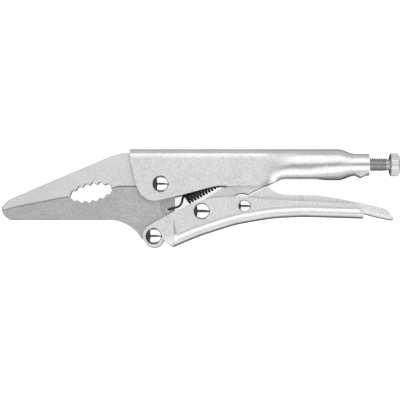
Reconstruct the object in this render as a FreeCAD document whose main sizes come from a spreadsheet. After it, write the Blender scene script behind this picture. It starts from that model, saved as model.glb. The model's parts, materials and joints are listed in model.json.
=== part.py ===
"""Long-nose locking pliers, lying flat on one side, jaws closed and toggle locked.

X runs from the jaw tips (-X) to the knob of the adjusting screw (+X), Y is the way that the handles
open, and Z is the thickness.  Every rivet axis is parallel to Z.  Z = 0 is the surface the tool rests on.
"""
import FreeCAD, Part
import math
import os
import Sketcher

Vector = FreeCAD.Vector

# Driving sizes in millimetres (the grip angle is in degrees).
SIZES = [
    # places of the rivets and of the adjusting screw
    ("jaw_pin_x", -17.2, "jaw pivot rivet"),
    ("jaw_pin_y", 6.0, "jaw pivot rivet"),
    ("swing_pin_x", -20.1, "rivet between the moving jaw and the lower handle"),
    ("swing_pin_y", -16.4, "rivet between the moving jaw and the lower handle"),
    ("link_pin_x", 0.4, "rivet of the toggle link"),
    ("link_pin_y", -5.7, "rivet of the toggle link"),
    ("lever_pin_x", 18.65, "rivet of the release lever"),
    ("lever_pin_y", -3.5, "rivet of the release lever"),
    ("nose_x", 40.5, "centre of the round end of the toggle link"),
    ("screw_y", 14.55, "axis of the adjusting screw and of the tube round it"),
    # jaws
    ("jaw_length", 68.2, "jaw pivot to the tips"),
    ("jaw_thick", 6.4, "thickness of both jaws at the grip"),
    ("tip_thick", 4.4, "thickness of both jaws at the tips"),
    ("tip_y", -5.15, "grip line at the tips"),
    ("jaw_bottom", -9.2, "underside of the moving jaw"),
    ("jaw_gap", 0.1, "gap between the closed jaws"),
    ("eye_radius", 5.6, "round end of the moving jaw on the jaw pivot"),
    ("eye_gap", 0.35, "gap round that end in the fixed jaw"),
    ("lug_radius", 4.7, "end of the moving jaw on the lower rivet"),
    ("grip_angle", 11.4, "slope of the grip line"),
    ("grip_x", -47.1, "middle of the toothed oval"),
    ("grip_y", 2.5, "middle of the toothed oval"),
    ("grip_half_length", 9.4, "half the length of the toothed oval"),
    ("grip_half_height", 4.3, "half the height of the toothed oval, to the tooth roots"),
    ("tooth_depth", 1.15, "teeth round the oval hole"),
    ("serration_pitch", 1.0, "pitch of the fine serrations"),
    ("serration_depth", 0.35, "depth of the fine serrations"),
    ("serration_length", 23.0, "length of the row of fine serrations"),
    ("tab_thick", 2.4, "tab of the moving jaw that holds the spring"),
    ("tab_hole", 1.8, "diameter of the spring holes"),
    # sheet metal of the handles
    ("sheet", 1.7, "sheet thickness of both handles"),
    ("side_play", 0.1, "gap on each side of a jaw between two sheet walls"),
    ("spine_y", 21.2, "top of the upper handle"),
    ("skirt_y", 5.1, "lower edge of the walls of the upper handle"),
    ("bend_radius", 2.8, "outer radius of the bent spines"),
    ("tube_radius", 6.7, "outer radius of the rolled tube"),
    ("tube_start_x", 35.0, "where the tube has its full size"),
    ("tube_end_x", 59.5, "where the tube begins to narrow to the neck"),
    ("neck_radius", 4.5, "outer radius of the threaded neck"),
    ("neck_end_x", 72.4, "end of the neck"),
    ("slot_end_x", 48.0, "end of the slot that the link swings in"),
    ("lower_width", 10.8, "width of the lower handle behind its ears"),
    ("lower_end_x", 69.6, "rear end of the lower handle"),
    ("ear_radius", 4.8, "ears of the lower handle on the lower rivet"),
    # release lever
    ("lever_width", 6.3, "width of the release lever"),
    ("lever_sheet", 1.2, "sheet thickness of the release lever"),
    ("lever_end_x", 82.3, "rear tip of the release lever"),
    ("lever_eye", 3.4, "round front end of the release lever"),
    ("web_gap", 0.35, "gap between the release lever and the bottom of the lower handle"),
    # toggle link
    ("link_thick", 6.2, "thickness of the toggle link"),
    ("link_radius", 3.9, "round end of the toggle link on its rivet"),
    ("nose_radius", 2.8, "round end of the toggle link at the screw"),
    ("nose_gap", 2.9, "gap between the toggle link and the tip of the screw"),
    ("notch_radius", 5.0, "notch of the toggle link over the end of the lever"),
    # adjusting screw
    ("thread_radius", 2.95, "outer radius of the thread"),
    ("thread_depth", 0.5, "depth of the thread"),
    ("thread_pitch", 1.0, "pitch of the thread"),
    ("thread_play", 0.1, "radial gap between the thread and the neck"),
    ("knob_radius", 5.1, "radius of the knob"),
    ("knob_end_x", 85.4, "outer face of the knob"),
    ("knob_length", 4.4, "length of the knob"),
    ("knob_play", 0.05, "radial gap between the knob and the shank"),
    # rivets
    ("pin_radius", 2.3, "shank radius of the three large rivets"),
    ("head_radius", 3.5, "head radius of the three large rivets"),
    ("small_pin_radius", 1.7, "shank radius of the lever rivet"),
    ("small_head_radius", 2.65, "head radius of the lever rivet"),
    ("small_head_height", 0.9, "head height of the lever rivet"),
    ("head_edge", 0.5, "height of the straight edge of a rivet head"),
    ("head_flat", 1.3, "radius of the flat on top of a rivet head"),
    ("pin_play", 0.05, "radial running clearance of a rivet"),
    # spring
    ("coil_radius", 2.1, "mean radius of the spring coil"),
    ("wire_radius", 0.5, "radius of the spring wire"),
    ("coil_pitch", 1.38, "pitch of the spring coil"),
    ("coil_start_x", -6.3, "front end of the spring coil"),
    ("coil_start_y", -0.4, "front end of the spring coil"),
    ("anchor_x", 19.6, "middle of the spring tab in the upper handle"),
    ("anchor_y", 14.6, "spring hole in that tab"),
]

RIB_COUNT = 30
TOOTH_STEPS = 12                                # roots and tips along one side of the oval
COIL_TURNS = 15

doc = FreeCAD.newDocument("locking_pliers")
dims = doc.addObject("Spreadsheet::Sheet", "dims")
for row, (alias, value, note) in enumerate(SIZES, start=1):
    dims.set("A%d" % row, note)
    dims.set("B%d" % row, str(value))
    dims.setAlias("B%d" % row, alias)
doc.recompute()


# ---------------------------------------------------------------- sums of named sizes
# A sum is a list of terms: a number, the name of a size ("-name" takes it away), or (name, factor).

def size(name):
    return getattr(dims, name)


def split(term):
    """The name and factor of a term, with no name for a plain number."""
    if isinstance(term, tuple):
        return term
    if isinstance(term, str):
        return (term[1:], -1.0) if term.startswith("-") else (term, 1.0)
    return None, float(term)


def number(terms):
    """The value that a sum has now."""
    total = 0.0
    for name, factor in map(split, terms):
        total += factor if name is None else factor * size(name)
    return total


def formula(terms):
    """The same sum as an expression on the sheet."""
    text = "0"
    for name, factor in map(split, terms):
        text += " + (%.6f)" % factor
        if name is not None:
            text += " * dims.%s" % name
    return text


def scaled(terms, by):
    """A sum multiplied by a number."""
    return [(name, factor * by) if name else factor * by for name, factor in map(split, terms)]


def at(x_name, x_offset, y_name, y_offset):
    """A corner given from a named place; no name for Y gives a plain height."""
    return [x_name, x_offset], [y_name, y_offset] if y_name else [y_offset]


# ---------------------------------------------------------------- sketches and features

def new_body(label):
    """A body whose own middle plane lies halfway up the tool."""
    body = doc.addObject("PartDesign::Body", label)
    body.Label = label
    body.setExpression("Placement.Base.z", "dims.tube_radius")
    return body


def new_sketch(body, name, plane="XY_Plane"):
    sketch = body.newObject("Sketcher::SketchObject", name)
    base = next(item for item in body.Origin.OriginFeatures if item.Role == plane)
    sketch.AttachmentSupport = [(base, "")]
    sketch.MapMode = "FlatFace"
    return sketch


def bind(sketch, kind, where, terms):
    """Adds one constraint whose value is a sum of sizes."""
    index = sketch.addConstraint(Sketcher.Constraint(kind, *where, number(terms)))
    sketch.setExpression("Constraints[%d]" % index, formula(terms))


def arc_between(start, end, radius):
    """The minor arc from start to end; a positive radius bends it to the left of the way it goes."""
    middle = (start + end) * 0.5
    along = end - start
    left = Vector(-along.y, along.x, 0).normalize()
    reach = math.sqrt(radius * radius - (along.Length / 2) ** 2)
    centre = middle - left * math.copysign(reach, radius)
    angles = [math.atan2(point.y - centre.y, point.x - centre.x) for point in (start, end)]
    if radius > 0:
        angles.reverse()
    circle = Part.Circle(centre, Vector(0, 0, 1), abs(radius))
    return Part.ArcOfCircle(circle, *angles), radius > 0


def add_outline(sketch, corners):
    """A closed outline.  A corner is (x, y), or (x, y, radius) where an arc runs on to the next corner."""
    first = sketch.GeometryCount
    points = [Vector(number(corner[0]), number(corner[1]), 0) for corner in corners]
    ends = []
    for index, corner in enumerate(corners):
        start, end = points[index], points[(index + 1) % len(points)]
        flipped = False
        if len(corner) == 3:
            piece, flipped = arc_between(start, end, number(corner[2]))
        else:
            piece = Part.LineSegment(start, end)
        sketch.addGeometry(piece)
        ends.append((2, 1) if flipped else (1, 2))
    for index, corner in enumerate(corners):
        before = (index - 1) % len(corners)
        here, there = first + index, first + before
        sketch.addConstraint(Sketcher.Constraint("Coincident", there, ends[before][1], here, ends[index][0]))
        bind(sketch, "DistanceX", (-1, 1, here, ends[index][0]), corner[0])
        bind(sketch, "DistanceY", (-1, 1, here, ends[index][0]), corner[1])
        if len(corner) == 3:
            bend = 1 if number(corner[2]) > 0 else -1
            bind(sketch, "Radius", (here,), scaled(corner[2], bend))


def add_circle(sketch, x, y, radius):
    index = sketch.addGeometry(Part.Circle(Vector(number(x), number(y), 0), Vector(0, 0, 1), number(radius)))
    bind(sketch, "DistanceX", (-1, 1, index, 3), x)
    bind(sketch, "DistanceY", (-1, 1, index, 3), y)
    bind(sketch, "Radius", (index,), radius)


def pad(body, name, sketch, width):
    """Adds material on both sides of the middle plane, width across."""
    feature = body.newObject("PartDesign::Pad", name)
    feature.Profile = sketch
    feature.SideType = "Symmetric"
    feature.setExpression("Length", formula(width))
    return feature


def pocket(body, name, sketch, width):
    """Takes material away on both sides of the middle plane, width across."""
    before = recomputed_volume(body)
    feature = body.newObject("PartDesign::Pocket", name)
    feature.Profile = sketch
    feature.SideType = "Symmetric"
    feature.setExpression("Length", formula(width))
    must_cut(body, name, before)
    return feature


def must_cut(body, name, before):
    """Stops the build when a cut has taken nothing away from a piece."""
    if recomputed_volume(body) >= before:
        raise RuntimeError("%s cuts nothing" % name)


def recomputed_volume(body):
    doc.recompute()
    return body.Shape.Volume


def pad_outline(body, name, corners, width):
    sketch = new_sketch(body, name + "_sketch")
    add_outline(sketch, corners)
    return pad(body, name, sketch, width)


def pad_disc(body, name, x, y, radius, width):
    sketch = new_sketch(body, name + "_sketch")
    add_circle(sketch, x, y, radius)
    return pad(body, name, sketch, width)


def cut_outline(body, name, corners, width, plane="XY_Plane"):
    sketch = new_sketch(body, name + "_sketch", plane)
    add_outline(sketch, corners)
    return pocket(body, name, sketch, width)


def cut_disc(body, name, x, y, radius, width):
    sketch = new_sketch(body, name + "_sketch")
    add_circle(sketch, x, y, radius)
    return pocket(body, name, sketch, width)


def cut_sides(body, name, corners_of_side, depth):
    """Cuts both cheeks of a body back to a middle web, depth across, inside one outline or disc."""
    for side, sign in (("left", 1), ("right", -1)):
        sketch = new_sketch(body, "%s_%s_sketch" % (name, side))
        sketch.setExpression("AttachmentOffset.Base.z", "%d * dims.%s / 2" % (sign, depth))
        add_circle(sketch, *corners_of_side)
        before = recomputed_volume(body)
        feature = body.newObject("PartDesign::Pocket", "%s_%s" % (name, side))
        feature.Profile = sketch
        feature.Type = "Length"
        feature.Length = 20
        feature.Reversed = sign > 0
        if recomputed_volume(body) >= before:
            raise RuntimeError("%s cuts nothing" % name)


def revolve(body, name, corners, kind="PartDesign::Revolution", offset_y=None):
    """Turns an outline round the X axis, or round a line parallel to it."""
    sketch = new_sketch(body, name + "_sketch")
    if offset_y:
        sketch.setExpression("AttachmentOffset.Base.y", formula(offset_y))
    add_outline(sketch, corners)
    before = 0.0 if kind.endswith("Revolution") else recomputed_volume(body)
    feature = body.newObject(kind, name)
    feature.Profile = sketch
    feature.ReferenceAxis = (sketch, ["H_Axis"])
    feature.Angle = 360
    if before and recomputed_volume(body) >= before:
        raise RuntimeError("%s cuts nothing" % name)
    return feature


def round_edges(body, name, feature, wanted, radius):
    """Rounds the edges of a feature that a test picks."""
    doc.recompute()
    edges = ["Edge%d" % (n + 1) for n, edge in enumerate(feature.Shape.Edges) if wanted(edge)]
    fillet = body.newObject("PartDesign::Fillet", name)
    fillet.Base = (feature, edges)
    fillet.setExpression("Radius", formula(radius))
    doc.recompute()
    return fillet


def is_long_x(edge):
    """True for a straight edge that runs mainly along X."""
    along = edge.Vertexes[-1].Point - edge.Vertexes[0].Point
    return abs(along.x) > 2 * abs(along.y) and abs(along.z) < 0.01 and edge.Length > 2


# Widths that several pieces share.
JAW_SPACE = ["jaw_thick", ("side_play", 2)]
CHANNEL_WIDTH = ["jaw_thick", ("side_play", 2), ("sheet", 2)]
LOWER_SPACE = ["lower_width", ("sheet", -2)]
THROUGH = [60]
JAW_PIN = (["jaw_pin_x"], ["jaw_pin_y"])
SWING_PIN = (["swing_pin_x"], ["swing_pin_y"])
LINK_PIN = (["link_pin_x"], ["link_pin_y"])
LEVER_PIN = (["lever_pin_x"], ["lever_pin_y"])
PIN_BORE = ["pin_radius", "pin_play"]
TIP_X = ["jaw_pin_x", "-jaw_length"]
SCREW_TIP_X = ["nose_x", "nose_radius", "nose_gap"]

# The underside of the lower handle, from its rear end forwards.
WEB_LINE = [
    (["lower_end_x"], ["lever_pin_y", -5.2]),
    ([("lower_end_x", 0.488), ("lever_pin_x", 0.512)], ["lever_pin_y", -4.4]),
    at("lever_pin_x", 12, "lever_pin_y", -5.1),
    at("lever_pin_x", -3.5, "lever_pin_y", -7.7),
]


# ---------------------------------------------------------------- what both jaws have

def toothed_oval(body):
    """The oval hole between the jaws, with pointed teeth round both long sides."""
    sketch = new_sketch(body, "oval_sketch")
    sketch.setExpression("AttachmentOffset.Base.x", "dims.grip_x")
    sketch.setExpression("AttachmentOffset.Base.y", "dims.grip_y")
    sketch.setExpression("AttachmentOffset.Rotation.Angle", "dims.grip_angle")
    halves = {1: [], -1: []}
    for step in range(TOOTH_STEPS + 1):
        share = 2 * step / TOOTH_STEPS - 1
        is_tip = step % 2 == 0 and 0 < step < TOOTH_STEPS
        for side, corners in halves.items():
            height = [("grip_half_height", side * math.sqrt(1 - share * share))]
            if is_tip:
                height.append(("tooth_depth", -side))
            corners.append(([("grip_half_length", share)], height))
    corners = halves[1] + halves[-1][-2:0:-1]
    add_outline(sketch, corners)
    pocket(body, "toothed_oval", sketch, THROUGH)


def fine_serrations(body, side):
    """A row of V grooves across one grip face: side is 1 on the fixed jaw and -1 on the moving jaw."""
    sketch = new_sketch(body, "serration_sketch")
    sketch.setExpression("AttachmentOffset.Base.x", formula(TIP_X))
    sketch.setExpression("AttachmentOffset.Base.y", "dims.tip_y")
    sketch.setExpression("AttachmentOffset.Rotation.Angle", "dims.grip_angle")
    start = [3.0]
    face = [("jaw_gap", 0.49 * side)]
    add_outline(sketch, [
        (start, face),
        (start + [("serration_pitch", 0.9)], face),
        (start + [("serration_pitch", 0.45)], face + [("serration_depth", side)]),
    ])
    groove = pocket(body, "serration", sketch, THROUGH)
    row = body.newObject("PartDesign::LinearPattern", "serration_row")
    row.Originals = [groove]
    row.Direction = (sketch, ["H_Axis"])
    row.Occurrences = round(size("serration_length") / size("serration_pitch")) + 1
    row.setExpression("Length", "dims.serration_length")
    body.Tip = row
    doc.recompute()


def taper_to_tip(body):
    """Narrows a jaw evenly from its full thickness to the tip."""
    for side, sign in (("left", 1), ("right", -1)):
        cut_outline(body, "taper_" + side, [
            (TIP_X + [-1], [("tip_thick", sign / 2)]),
            (TIP_X, [("tip_thick", sign / 2)]),
            (["grip_x", "grip_half_length"], [("jaw_thick", sign / 2)]),
            (["grip_x", "grip_half_length"], [("jaw_thick", sign / 2), sign * 3]),
            (TIP_X + [-1], [("jaw_thick", sign / 2), sign * 3]),
        ], THROUGH, "XZ_Plane")


# ---------------------------------------------------------------- jaws

def make_fixed_jaw():
    body = new_body("fixed_jaw")
    gap = ("jaw_gap", 0.5)
    rear_x = ["jaw_pin_x", 9.0]
    top = ["spine_y", "-sheet"]
    pad_outline(body, "blank", [
        (TIP_X, ["tip_y", gap]),
        (["grip_x", 8.6], ["grip_y", 1.75, gap]),
        (["grip_x", 12.4], ["jaw_pin_y", -0.9, gap]),
        (["jaw_pin_x", -5.0], ["jaw_pin_y", -0.9, gap]),
        (["jaw_pin_x"], ["jaw_pin_y", 6.5]),
        (rear_x, ["jaw_pin_y", 6.5]),
        (rear_x, top),
        (["grip_x", 13.6], top, [-9]),
        (["grip_x", 8.8], top + [-1.3]),
        (TIP_X + [3.3], ["tip_y", 4.75], [-3.5]),
        (TIP_X + [0.1], ["tip_y", 1.6]),
    ], JAW_SPACE)
    cut_disc(body, "eye_seat", *JAW_PIN, ["eye_radius", "eye_gap"], THROUGH)
    toothed_oval(body)
    fine_serrations(body, 1)
    taper_to_tip(body)
    return body


def make_moving_jaw():
    body = new_body("moving_jaw")
    gap = ("jaw_gap", -0.5)
    hollow_x = ["swing_pin_x", -19.8]
    hollow_radius = 16.8
    tab_x = ["jaw_pin_x", 6.0]
    pad_outline(body, "blank", [
        (TIP_X, ["tip_y", gap]),
        (TIP_X + [0.9], ["jaw_bottom", 1.9], [3]),
        (TIP_X + [3.1], ["jaw_bottom"]),
        (hollow_x, ["jaw_bottom", 0.2]),
        (["swing_pin_x", -4.2], ["swing_pin_y", -1.9]),
        (["swing_pin_x", 4.5], ["swing_pin_y", 0.5]),
        (tab_x, ["swing_pin_y", 7.4]),
        (tab_x, ["jaw_pin_y", -4.0]),
        (["jaw_pin_x", 5.5], ["jaw_pin_y"]),
        (["jaw_pin_x", -5.4], ["jaw_pin_y", -0.9, gap]),
        (["grip_x", 12.4], ["jaw_pin_y", -0.9, gap]),
        (["grip_x", 8.6], ["grip_y", 1.75, gap]),
    ], ["jaw_thick"])
    pad_disc(body, "eye", *JAW_PIN, ["eye_radius"], ["jaw_thick"])
    pad_disc(body, "lug", *SWING_PIN, ["lug_radius"], ["jaw_thick"])
    cut_disc(body, "hollow", hollow_x, ["jaw_bottom", 0.2 - hollow_radius], [hollow_radius], THROUGH)
    cut_disc(body, "pivot_bore", *JAW_PIN, PIN_BORE, THROUGH)
    cut_disc(body, "swing_bore", *SWING_PIN, PIN_BORE, THROUGH)
    toothed_oval(body)
    fine_serrations(body, -1)
    taper_to_tip(body)
    cut_sides(body, "tab_step", (["jaw_pin_x", 3.9], ["jaw_pin_y", -9.6], [4.2]), "tab_thick")
    cut_disc(body, "hook_hole", ["jaw_pin_x", 3.2], ["jaw_pin_y", -10.7], [("tab_hole", 0.5)], THROUGH)
    return body


# ---------------------------------------------------------------- upper handle

def make_upper_handle():
    body = new_body("upper_handle")
    tube_bottom = ["screw_y", "-tube_radius"]
    walls = pad_outline(body, "walls", [
        at("jaw_pin_x", -13.5, "spine_y", 0),
        at("jaw_pin_x", -9.5, "jaw_pin_y", -2.6),
        at("jaw_pin_x", -1.9, "jaw_pin_y", -7.2),
        at("link_pin_x", 6.0, "skirt_y", 0),
        at("lever_pin_x", 10.2, "skirt_y", 0.3),
        (["tube_start_x"], tube_bottom),
        (["tube_start_x", 2], tube_bottom),
        at("tube_start_x", 2, "spine_y", 0),
    ], CHANNEL_WIDTH)
    spine = size("spine_y")
    round_edges(body, "spine_bend", walls,
                lambda edge: is_long_x(edge) and edge.CenterOfMass.y > spine - 0.1, ["bend_radius"])
    pad_disc(body, "ear", ["jaw_pin_x", -3.4], ["jaw_pin_y", -1.2], [6.2], CHANNEL_WIDTH)
    neck_start = ["neck_end_x", -6.1]
    revolve(body, "tube", [
        at("tube_start_x", -14, None, 0),
        (["tube_start_x", -14], [("jaw_thick", 0.5), "sheet"]),
        (["tube_start_x"], ["tube_radius"]),
        (["tube_end_x"], ["tube_radius"], [-14]),
        (neck_start, ["neck_radius", 0.2]),
        (["neck_end_x", -0.5], ["neck_radius"]),
        (["neck_end_x"], ["neck_radius", -0.5]),
        at("neck_end_x", 0, None, 0),
    ], offset_y=["screw_y"])
    cut_outline(body, "channel", [
        at("jaw_pin_x", -30, "jaw_pin_y", -30),
        (["jaw_pin_x", -30], ["spine_y", "-sheet"]),
        (["tube_start_x", 1], ["spine_y", "-sheet"]),
        (["tube_start_x", 1], ["screw_y"]),
        (["slot_end_x"], ["screw_y"]),
        (["slot_end_x"], ["jaw_pin_y", -30]),
    ], JAW_SPACE)
    revolve(body, "tube_bore", [
        at("tube_start_x", -13, None, 0),
        (["tube_start_x", -13], [("jaw_thick", 0.5)]),
        (["tube_start_x"], ["tube_radius", "-sheet"]),
        (["tube_end_x"], ["tube_radius", "-sheet"]),
        (neck_start + [-1.5], ["thread_radius", "thread_play"]),
        (["neck_end_x", 1], ["thread_radius", "thread_play"]),
        at("neck_end_x", 1, None, 0),
    ], "PartDesign::Groove", ["screw_y"])
    cut_outline(body, "seam", [
        at("slot_end_x", -1, "screw_y", 0),
        at("neck_end_x", -4, "screw_y", 0),
        at("neck_end_x", -4, "screw_y", -9),
        at("slot_end_x", -1, "screw_y", -9),
    ], [0.8])
    cut_disc(body, "rivet_bore", *JAW_PIN, ["pin_radius"], THROUGH)
    tab_bottom = ["anchor_y", -1.9]
    pad_outline(body, "spring_tab", [
        (["anchor_x", -0.8], tab_bottom),
        (["anchor_x", 0.8], tab_bottom),
        (["anchor_x", 0.8], ["spine_y", -1]),
        (["anchor_x", -0.8], ["spine_y", -1]),
    ], [3.4])
    hole = new_sketch(body, "spring_hole_sketch", "YZ_Plane")
    add_circle(hole, ["anchor_y"], [0], [("tab_hole", 0.5)])
    before = recomputed_volume(body)
    cut = body.newObject("PartDesign::Pocket", "spring_hole")
    cut.Profile = hole
    cut.Reversed = True
    cut.setExpression("Length", "dims.anchor_x + 3")
    must_cut(body, "spring_hole", before)
    return body


# ---------------------------------------------------------------- lower handle

def make_lower_handle():
    body = new_body("lower_handle")
    front_x = ["swing_pin_x", 8.6]
    top = [
        at("link_pin_x", 2.3, "link_pin_y", 5.4),
        at("lever_pin_x", -4.0, "lever_pin_y", 4.25),
        at("lever_pin_x", 10.2, "lever_pin_y", 2.9),
        at("lower_end_x", -5.8, "lever_pin_y", 1.1),
        (["lower_end_x"], ["lever_pin_y", -3.6]),
    ]
    bottom = WEB_LINE + [(["swing_pin_x", 8.0], ["swing_pin_y", -4.7])]
    walls = pad_outline(body, "walls", [(front_x, ["swing_pin_y", 10.5])] + top + bottom[:-1]
                        + [(front_x, ["swing_pin_y", -4.4])], ["lower_width"])
    low = size("lever_pin_y") - 3.9
    round_edges(body, "web_bend", walls,
                lambda edge: is_long_x(edge) and edge.CenterOfMass.y < low, ["bend_radius"])
    pad_disc(body, "ear_round", *SWING_PIN, ["ear_radius"], CHANNEL_WIDTH)
    pad_outline(body, "ears", [
        (["swing_pin_x", -2.3], ["swing_pin_y", 4.4]),
        (["swing_pin_x", 3.0], ["swing_pin_y", -3.4]),
        bottom[-1],
        (["swing_pin_x", 12.0], ["swing_pin_y", -3.2]),
        (["swing_pin_x", 12.0], ["swing_pin_y", 12.2]),
        (["swing_pin_x", 8.0], ["swing_pin_y", 10.3]),
    ], CHANNEL_WIDTH)
    inner_front = ["swing_pin_x", 9.6]
    cut_outline(body, "trough", [(inner_front, ["lever_pin_y", 10])]
                + [(inner_front, ["swing_pin_y", -1.7])]
                + [(x, y + ["sheet"]) for x, y in (bottom[3], bottom[2], bottom[1])]
                + [(["lower_end_x", 1], ["lever_pin_y", -5.2, "sheet"])]
                + [(["lower_end_x", 1], ["lever_pin_y", 10])], LOWER_SPACE)
    cut_outline(body, "jaw_space", [
        (["swing_pin_x", -8], ["swing_pin_y", 16]),
        (["swing_pin_x", -8], ["swing_pin_y", -8]),
        (["swing_pin_x", 6.2], ["swing_pin_y", -8]),
        (["swing_pin_x", 6.2], ["swing_pin_y", -1.7]),
        (inner_front + [1], ["swing_pin_y", -1.7]),
        (inner_front + [1], ["swing_pin_y", 16]),
    ], JAW_SPACE)
    cut_disc(body, "swing_bore", *SWING_PIN, ["pin_radius"], THROUGH)
    cut_disc(body, "link_bore", *LINK_PIN, ["pin_radius"], THROUGH)
    cut_disc(body, "lever_bore", *LEVER_PIN, ["small_pin_radius"], THROUGH)
    return body


# ---------------------------------------------------------------- release lever and toggle link

def make_release_lever():
    body = new_body("release_lever")
    tail = [
        (["lever_end_x"], ["lever_pin_y", -6.0]),
        (["lever_end_x", -2.7], ["lever_pin_y", -5.6]),
        (["lower_end_x", 4.8], ["lever_pin_y", -4.5]),
    ] + [(x, y + ["sheet", "web_gap"]) for x, y in WEB_LINE[:3]] + [
        (["lever_pin_x", 1.0], ["lever_pin_y", "-lever_eye"]),
    ]
    pad_outline(body, "walls", [
        (["lever_pin_x", -1.0], ["lever_pin_y"]),
        at("lever_pin_x", 1.15, "lever_pin_y", 3.95),
        at("lever_pin_x", 9.6, "lever_pin_y", 8.3),
        at("lever_pin_x", 10.2, "lever_pin_y", 8.4),
        (["lever_pin_x", 12.3], ["lever_pin_y", 6.4], [-5.5]),
        at("lever_pin_x", 16.4, "lever_pin_y", 4.9),
        ([("lower_end_x", 0.6), ("lever_pin_x", 0.4)], ["lever_pin_y", 4.8]),
        (["lower_end_x", 1.0], ["lever_pin_y", 1.1]),
        (["lever_end_x", -4.9], ["lever_pin_y", -0.1], [4]),
        (["lever_end_x", -2.2], ["lever_pin_y", -1.6]),
    ] + tail, ["lever_width"])
    pad_disc(body, "eye", *LEVER_PIN, ["lever_eye"], ["lever_width"])
    cut_outline(body, "trough", [
        (["lever_pin_x", -6], ["lever_pin_y", 12]),
        (["lever_pin_x", -6], ["lever_pin_y", -6]),
        (["lever_pin_x", 3], ["lever_pin_y", -6]),
    ] + [(x, y + ["lever_sheet"]) for x, y in reversed(tail[:-1])] + [
        (["lever_end_x", 2], ["lever_pin_y", -6, "lever_sheet"]),
        (["lever_end_x", 2], ["lever_pin_y", 12]),
    ], ["lever_width", ("lever_sheet", -2)])
    cut_disc(body, "pivot_bore", *LEVER_PIN, ["small_pin_radius", "pin_play"], THROUGH)
    return body


def make_toggle_link():
    body = new_body("toggle_link")
    pad_outline(body, "bar", [
        at("link_pin_x", -1.99, "link_pin_y", 3.35),
        at("link_pin_x", 8.9, "link_pin_y", 9.8),
        at("link_pin_x", 11.6, "link_pin_y", 11.2),
        at("nose_x", -1.2, "screw_y", 2.53),
        at("nose_x", 1.2, "screw_y", -2.53),
        at("lever_pin_x", 7.65, "lever_pin_y", 8.2),
        at("lever_pin_x", 1.25, "lever_pin_y", 5.2),
        at("lever_pin_x", -5.4, "lever_pin_y", 0.9),
        at("link_pin_x", 1.99, "link_pin_y", -3.35),
    ], ["link_thick"])
    pad_disc(body, "eye", *LINK_PIN, ["link_radius"], ["link_thick"])
    pad_disc(body, "nose", ["nose_x"], ["screw_y"], ["nose_radius"], ["link_thick"])
    cut_disc(body, "notch", ["lever_pin_x", -0.85], ["lever_pin_y", 0.7], ["notch_radius"], THROUGH)
    cut_disc(body, "pivot_bore", *LINK_PIN, PIN_BORE, THROUGH)
    return body


# ---------------------------------------------------------------- adjusting screw

def make_screw_shank():
    body = new_body("screw_shank")
    body.setExpression("Placement.Base.y", "dims.screw_y")
    centre = [0]
    revolve(body, "rod", [
        (SCREW_TIP_X, centre),
        (SCREW_TIP_X, ["thread_radius", -1.2]),
        (SCREW_TIP_X + [1.2], ["thread_radius"]),
        (["knob_end_x", -0.3], ["thread_radius"]),
        (["knob_end_x"], ["thread_radius", -0.3]),
        (["knob_end_x"], centre),
    ])
    last_groove = ["knob_end_x", "-knob_length", -1.3]
    sketch = new_sketch(body, "thread_sketch")
    add_outline(sketch, [
        (last_groove, ["thread_radius", 0.2]),
        (last_groove, ["thread_radius"]),
        (last_groove + [("thread_pitch", 0.4)], ["thread_radius", "-thread_depth"]),
        (last_groove + [("thread_pitch", 0.8)], ["thread_radius"]),
        (last_groove + [("thread_pitch", 0.8)], ["thread_radius", 0.2]),
    ])
    before = recomputed_volume(body)
    groove = body.newObject("PartDesign::Groove", "thread_groove")
    groove.Profile = sketch
    groove.ReferenceAxis = (sketch, ["H_Axis"])
    groove.Angle = 360
    must_cut(body, "thread_groove", before)
    turns = int((number(last_groove) - number(SCREW_TIP_X) - 2.0) / size("thread_pitch"))
    row = body.newObject("PartDesign::LinearPattern", "thread_turns")
    row.Originals = [groove]
    row.Direction = (sketch, ["H_Axis"])
    row.Reversed = True
    row.Occurrences = turns + 1
    row.setExpression("Length", "%d * dims.thread_pitch" % turns)
    body.Tip = row
    doc.recompute()
    return body


def make_screw_knob():
    body = new_body("screw_knob")
    body.setExpression("Placement.Base.y", "dims.screw_y")
    inner = ["thread_radius", "knob_play"]
    front = ["knob_end_x", "-knob_length"]
    revolve(body, "disc", [
        (front, inner),
        (front, ["knob_radius", -0.7]),
        (front + [0.6], ["knob_radius"]),
        (["knob_end_x", -0.8], ["knob_radius"]),
        (["knob_end_x"], ["knob_radius", -0.9]),
        (["knob_end_x"], inner),
    ])
    sketch = new_sketch(body, "rib_sketch", "YZ_Plane")
    half = size("knob_radius") * math.pi / RIB_COUNT * 0.55
    add_outline(sketch, [
        ([-half], ["knob_radius", 0.2]),
        ([0], ["knob_radius", -0.45]),
        ([half], ["knob_radius", 0.2]),
    ])
    before = recomputed_volume(body)
    groove = body.newObject("PartDesign::Pocket", "rib_groove")
    groove.Profile = sketch
    groove.Reversed = True
    groove.setExpression("Length", "dims.knob_end_x + 1")
    must_cut(body, "rib_groove", before)
    ring = body.newObject("PartDesign::PolarPattern", "rib_ring")
    ring.Originals = [groove]
    ring.Axis = (sketch, ["N_Axis"])
    ring.Angle = 360
    ring.Occurrences = RIB_COUNT
    body.Tip = ring
    doc.recompute()
    return body


# ---------------------------------------------------------------- rivets

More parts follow.
